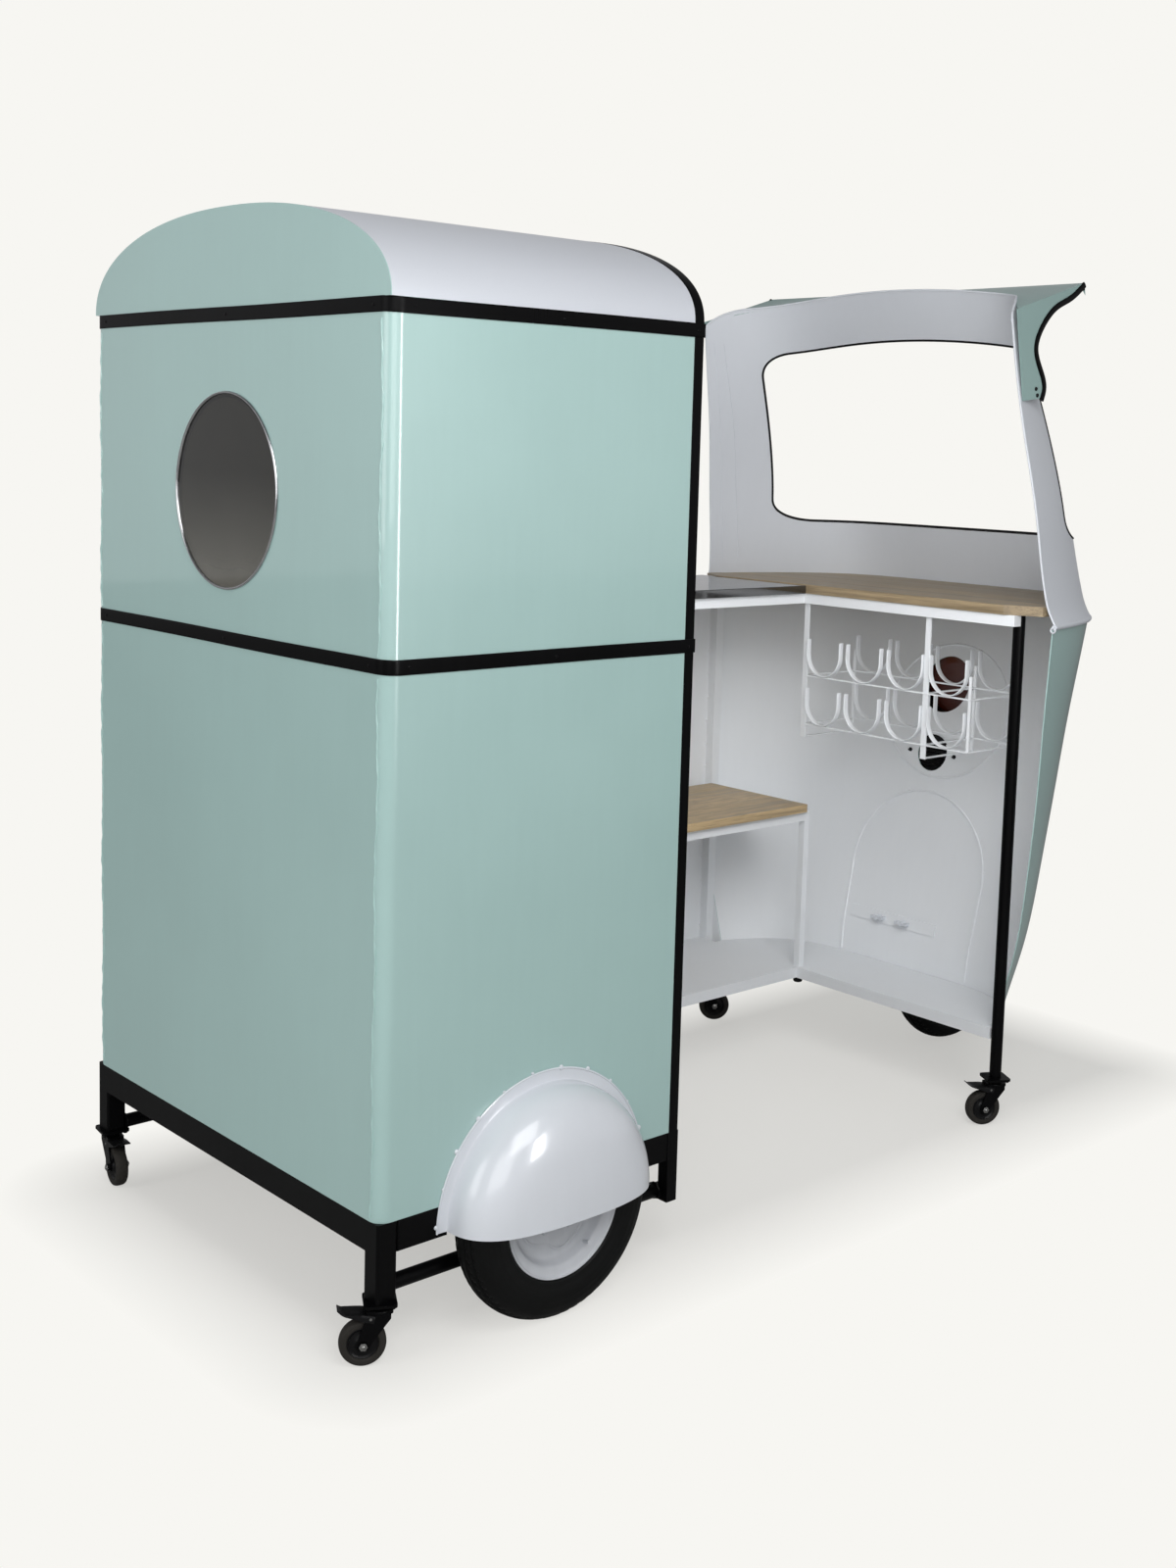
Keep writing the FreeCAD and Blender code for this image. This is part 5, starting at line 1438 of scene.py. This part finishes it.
@dataclass
class CounterArm:
    """Wooden counter, black slab, low shelf, white frame, outer wall and black post."""

    hoop: WindscreenFrame
    nose: CabNose
    edge: float = 1697.5
    board: float = 118.0
    gap: float = 0.6
    clear: float = 4.0
    low: float = 1183.0
    thick: float = 22.0
    bevel: float = 1.6
    cut_y: float = 451.5
    wall_y: float = 501.5
    wall_low: float = 199.0
    arm_x: float = 685.0
    sheet: float = 1.5
    foot: Point = (1746.5, 156.5, 199.0)
    tack_low: float = 260.0
    tack_high: float = 1140.0
    tack_pitch: float = 62.0

    def counter(self) -> None:
        """Boards side by side: a bevelled section drawn along Y to the frame's inner plan and the cut corners."""
        top, low, middle, b = self.low + self.thick, self.low, self.low + self.thick / 2, self.bevel
        lean, half, depth = self.hoop.extent(np.array(middle), -self.hoop.sheet - self.clear)
        end = self.nose.x - lean + depth - 1
        reach = np.concatenate([[-1], np.linspace(-1, 1, 33), [1]])[:, None]
        patches = []
        for start in np.arange(self.edge, end, self.board):
            stop = min(start + self.board - self.gap, end)
            upper = np.column_stack([np.linspace(start + b, stop - b, 12), np.full(12, top)])
            nose = [(stop - 0.5, top - 0.5), (stop, top - b), (stop, low + b), (stop - 0.5, low + 0.5)]
            tail = [(start + 0.5, low + 0.5), (start, low + b), (start, top - b), (start + 0.5, top - 0.5)]
            x, height = np.concatenate([upper, nose, upper[::-1] - (0, self.thick), tail, upper[:1]]).T
            share = np.clip(1 - (x - self.nose.x + lean) / depth, 0, 1)
            chamfer = self.cut_y + (x - self.edge) * (self.nose.half - self.cut_y) / (self.nose.x - self.edge)
            y = reach * np.minimum(half * share ** (1 / self.nose.power), chamfer)
            z = np.broadcast_to(height, y.shape).copy()
            z[[0, -1]] = middle
            patches.append(grid(xyz(x, y, z)))
        piece("dressed_counter_boards", patches, COUNTER, stands_for="counter_boards", angle=40)

    def outer_wall(self) -> None:
        """Flat wall of the arm, green outside, and strips that close the step to the nose.

        Below, the nose is narrower than the arm and the strip shows white in the bay; above, it is green outside.
        """
        wall = xyz(np.linspace(self.arm_x, self.nose.x, 40), self.wall_y,
                   np.linspace(self.wall_low, self.low, 40)[:, None])
        piece("dressed_arm_wall", [grid(wall, (1200, 0, 700))], MINT, WHITE, stands_for="arm_wall",
              wall=self.sheet)
        rows = np.linspace(self.nose.low, self.nose.high, 400)
        cross = float(rows[np.argmin(np.abs(self.nose.extent(rows)[:, 1] - self.wall_y))])
        for name, low, high, finish in (("nose_step_gusset", self.nose.low, cross, WHITE),
                                        ("nose_step_strip", cross, self.nose.high, MINT)):
            z = np.linspace(low, high, 40)
            y = self.wall_y + (self.nose.extent(z)[:, 1:2] - self.wall_y) * np.linspace(0, 1, 4)
            strip = xyz(self.nose.x - self.sheet, y, z[:, None])
            piece(name, [grid(strip, (self.nose.x + 300, 500, 700))], finish, wall=self.sheet)

    def tacks(self) -> None:
        """Spots of weld where the wall meets the posts, and a rubber foot under the inner corner."""
        spots = [dome_head((x, self.wall_y - self.sheet - 0.5, z), -Y_AXIS, 3.5, 2.2)
                 for z in np.arange(self.tack_low, self.tack_high, self.tack_pitch)
                 for x in (self.arm_x + 26, self.nose.x - 26)]
        piece("wall_tacks", spots, WHITE)
        foot = [(0, 0), (10, 0), (10, -4), (11.5, -6), (11.5, -13), (9, -15), (0, -15)]
        piece("corner_foot", [lathe(soften(foot, 1), self.foot, Z_AXIS, 32)], SEAL)

    def build(self) -> None:
        """All pieces of the arm, and finishes for its plain CAD nodes."""
        self.counter()
        self.outer_wall()
        self.tacks()
        dress(WHITE, "bar_frame", "floor_sheet")
        dress(BLACK, "black_post")
        dress(SHELF, "shelf_boards")
        dress(SLAB, "slab_top")


@dataclass
class BottleRack:
    """White flat-strip rack under the counter with two tiers of U cradles."""

    x: float = 1716.0
    depth: float = 188.0
    radius: float = 52.0
    arm: float = 36.0
    pitch: float = 127.0
    first: float = 85.0
    tiers: tuple = (857.0, 979.0)
    strip: float = 3.0
    width: float = 15.0

    def build(self) -> None:
        """Each cradle is a rounded strip carried down one arm, round the half circle and up the other."""
        turn = np.linspace(HALF, FULL, 25)
        r = self.radius
        tip = between((-r, self.arm), (-r, 1), 5)
        shape = np.concatenate([tip, np.stack([r * np.cos(turn), r * np.sin(turn)], axis=1), tip[::-1] * (-1, 1)])
        section = strip_profile(self.strip, self.width, 0.18)
        patches = [sweep(xyz(x, self.first - self.pitch * k + shape[:, 0], z + r + self.strip / 2 + shape[:, 1]),
                         section, X_AXIS)
                   for z in self.tiers for x in (self.x, self.x + self.depth) for k in range(4)]
        piece("dressed_bottle_cradles", patches, WHITE, stands_for="bottle_cradles", slot="grey_steel")
        dress(WHITE, "rack_frame")


# Studio


@dataclass
class Studio:
    """Pale floor, soft light and the camera of the photograph."""

    backdrop: tuple = tone(247, 246, 242)
    footprint: tuple = (1.12, 0.42)
    fade: float = 0.27
    reach: float = 14.0
    fill: float = 0.6
    zenith: float = 0.08
    wide: float = 1200.0
    tall: float = 1600.0
    focal: float = 1842.1
    middle: tuple = (630.3, 659.2)
    spot: Point = (-1637.0, -2846.0, 1539.0)
    yaw: float = 47.74
    pitch: float = 6.41
    roll: float = 1.65
    sensor: float = 36.0

    def world(self) -> None:
        """Soft light that fades from the horizon to the top; the camera and glass see the backdrop's colour."""
        world = bpy.data.worlds.new("studio")
        bpy.context.scene.world = world
        s = Shader(world)
        ray = s.add("NewGeometry", {}).outputs["Incoming"]
        up = s.math("ABSOLUTE", s.add("SeparateXYZ", {0: ray}).outputs[2])
        level = s.span(up, self.fill, self.zenith, 0.0, 1.0)
        soft = s.add("CombineColor", {0: level, 1: level, 2: s.math("MULTIPLY", level, 1.02)}).outputs[0]
        s.put(s.tree.nodes["Background"], {"Color": s.mix(s.seen, soft, self.backdrop)})

    def floor(self) -> None:
        """Wide floor that takes shadows under the object and fades to the backdrop's colour round its footprint."""
        x = np.linspace(-1, 1, 41) * self.reach
        patch = grid(xyz(x, x[:, None], 0.0), (0, 0, -5))
        mesh = bpy.data.meshes.new("floor")
        mesh.from_pydata(patch.points.tolist(), [], patch.faces.tolist())
        pale = bpy.data.materials.new("floor_pale")
        s = Shader(pale)
        away = s.vector("ABSOLUTE", s.coords).outputs[0]
        away = s.vector("SUBTRACT", away, (*self.footprint, 0.0)).outputs[0]
        away = s.vector("MAXIMUM", away, (0.0, 0.0, 0.0)).outputs[0]
        near = s.span(s.vector("LENGTH", away).outputs["Value"], 0.5, 1.0, 0.0, self.fade)
        lit = s.add("BsdfDiffuse", {"Color": s.mix(s.seen, tone(192, 191, 189), tone(226, 225, 222))})
        glow = s.add("Emission", {"Color": self.backdrop, "Strength": 1.0})
        blend = s.add("MixShader", {0: s.math("MULTIPLY", near, s.seen), 1: lit.outputs[0], 2: glow.outputs[0]})
        s.put(s.tree.nodes["Material Output"], {"Surface": blend.outputs[0]})
        s.tree.nodes.remove(s.tree.nodes["Principled BSDF"])
        mesh.materials.append(pale)
        floor = bpy.data.objects.new("floor", mesh)
        bpy.context.scene.collection.objects.link(floor)

    def lamp(self, name: str, place: Point, aim: Point, size: float, watts: float, tall: float = 0.0,
             dull: bool = False) -> None:
        """Square soft light aimed at a point, or an upright strip that only shows in gloss.

        Args:
            name: name of the light.
            place: its centre in metres.
            aim: point that it faces.
            size: its side in metres.
            watts: its power.
            tall: height of a strip in metres; a square light where zero.
            dull: True where the light isn't mirrored in gloss.
        """
        light = bpy.data.lights.new(name, "AREA")
        light.size = size
        if tall:
            light.shape = "RECTANGLE"
            light.size_y = tall
        light.energy = watts
        obj = bpy.data.objects.new(name, light)
        obj.location = place
        obj.rotation_euler = (Vector(aim) - Vector(place)).to_track_quat("-Z", "Y").to_euler()
        obj.visible_camera = False
        obj.visible_diffuse = not tall
        obj.visible_glossy = not dull
        bpy.context.scene.collection.objects.link(obj)

    def camera(self) -> None:
        """Camera from its spot, yaw, pitch, roll, focal length and middle point in pixels."""
        yaw, pitch, roll = (math.radians(v) for v in (self.yaw, self.pitch, self.roll))
        ahead = Vector((math.cos(yaw) * math.cos(pitch), math.sin(yaw) * math.cos(pitch), -math.sin(pitch)))
        right = Vector((math.sin(yaw), -math.cos(yaw), 0.0))
        up = right.cross(ahead)
        across = math.cos(roll) * right + math.sin(roll) * up
        rise = -math.sin(roll) * right + math.cos(roll) * up
        data = bpy.data.cameras.new("photo_camera")
        data.sensor_fit = "VERTICAL"
        data.sensor_height = self.sensor
        data.lens = self.sensor * self.focal / self.tall
        data.shift_x = (self.wide / 2 - self.middle[0]) / self.tall
        data.shift_y = (self.middle[1] - self.tall / 2) / self.tall
        data.clip_end = 200.0
        obj = bpy.data.objects.new("photo_camera", data)
        turn = Matrix((across, rise, -ahead)).transposed()
        obj.matrix_world = Matrix.Translation(Vector(to_row(np.array(self.spot)))) @ turn.to_4x4()
        bpy.context.scene.collection.objects.link(obj)
        bpy.context.scene.camera = obj

    def build(self) -> None:
        """World, floor, lights and camera."""
        self.world()
        self.floor()
        self.lamp("front_fill", (-3.4, -3.5, 2.4), (0.2, 0.0, 0.9), 2.5, 48)
        self.lamp("rear_fill", (-5.2, 0.2, 2.3), (-1.2, 0.0, 1.1), 2.5, 48)
        self.lamp("key", (-1.45, -2.5, 3.0), (-0.9, -0.45, 1.5), 1.7, 46)
        self.lamp("bay_fill", (-0.1, -0.5, 1.3), (0.8, 0.15, 0.75), 0.8, 3.7, dull=True)
        self.lamp("top", (0.3, 0.0, 5.2), (0.0, 0.0, 0.0), 3.5, 3)
        self.lamp("glint", (-0.545, -2.82, 1.42), (-1.16, -0.5, 1.42), 0.5, 26, 1.1)
        self.camera()
        bpy.context.scene.view_settings.view_transform = "Standard"


def main() -> None:
    """Build every sub-assembly in order, then the studio."""
    logging.basicConfig(level=logging.INFO, format="%(message)s")
    nose, hoop = CabNose(), WindscreenFrame()
    wheels = [RoadWheel("right", 355.0, -525.0, -1.0), RoadWheel("left", 355.0, 525.0, 1.0),
              RoadWheel("front", 2166.5, 0.0, -1.0)]
    fenders = [Fender("right", Side.RIGHT), Fender("left", Side.LEFT)]
    castors = [Castor("rear_right", 20.0, -480.0, 150.0), Castor("rear_left", 20.0, 480.0, 262.0),
               Castor("cab_right", 1742.0, -465.0, 150.0), Castor("cab_left", 1743.0, 487.5, 320.0)]
    for part in (RearCabinet(), *wheels, *fenders, *castors, nose, hoop, CounterArm(hoop, nose), BottleRack(),
                 Studio()):
        part.build()


if __name__ == "__main__":
    main()
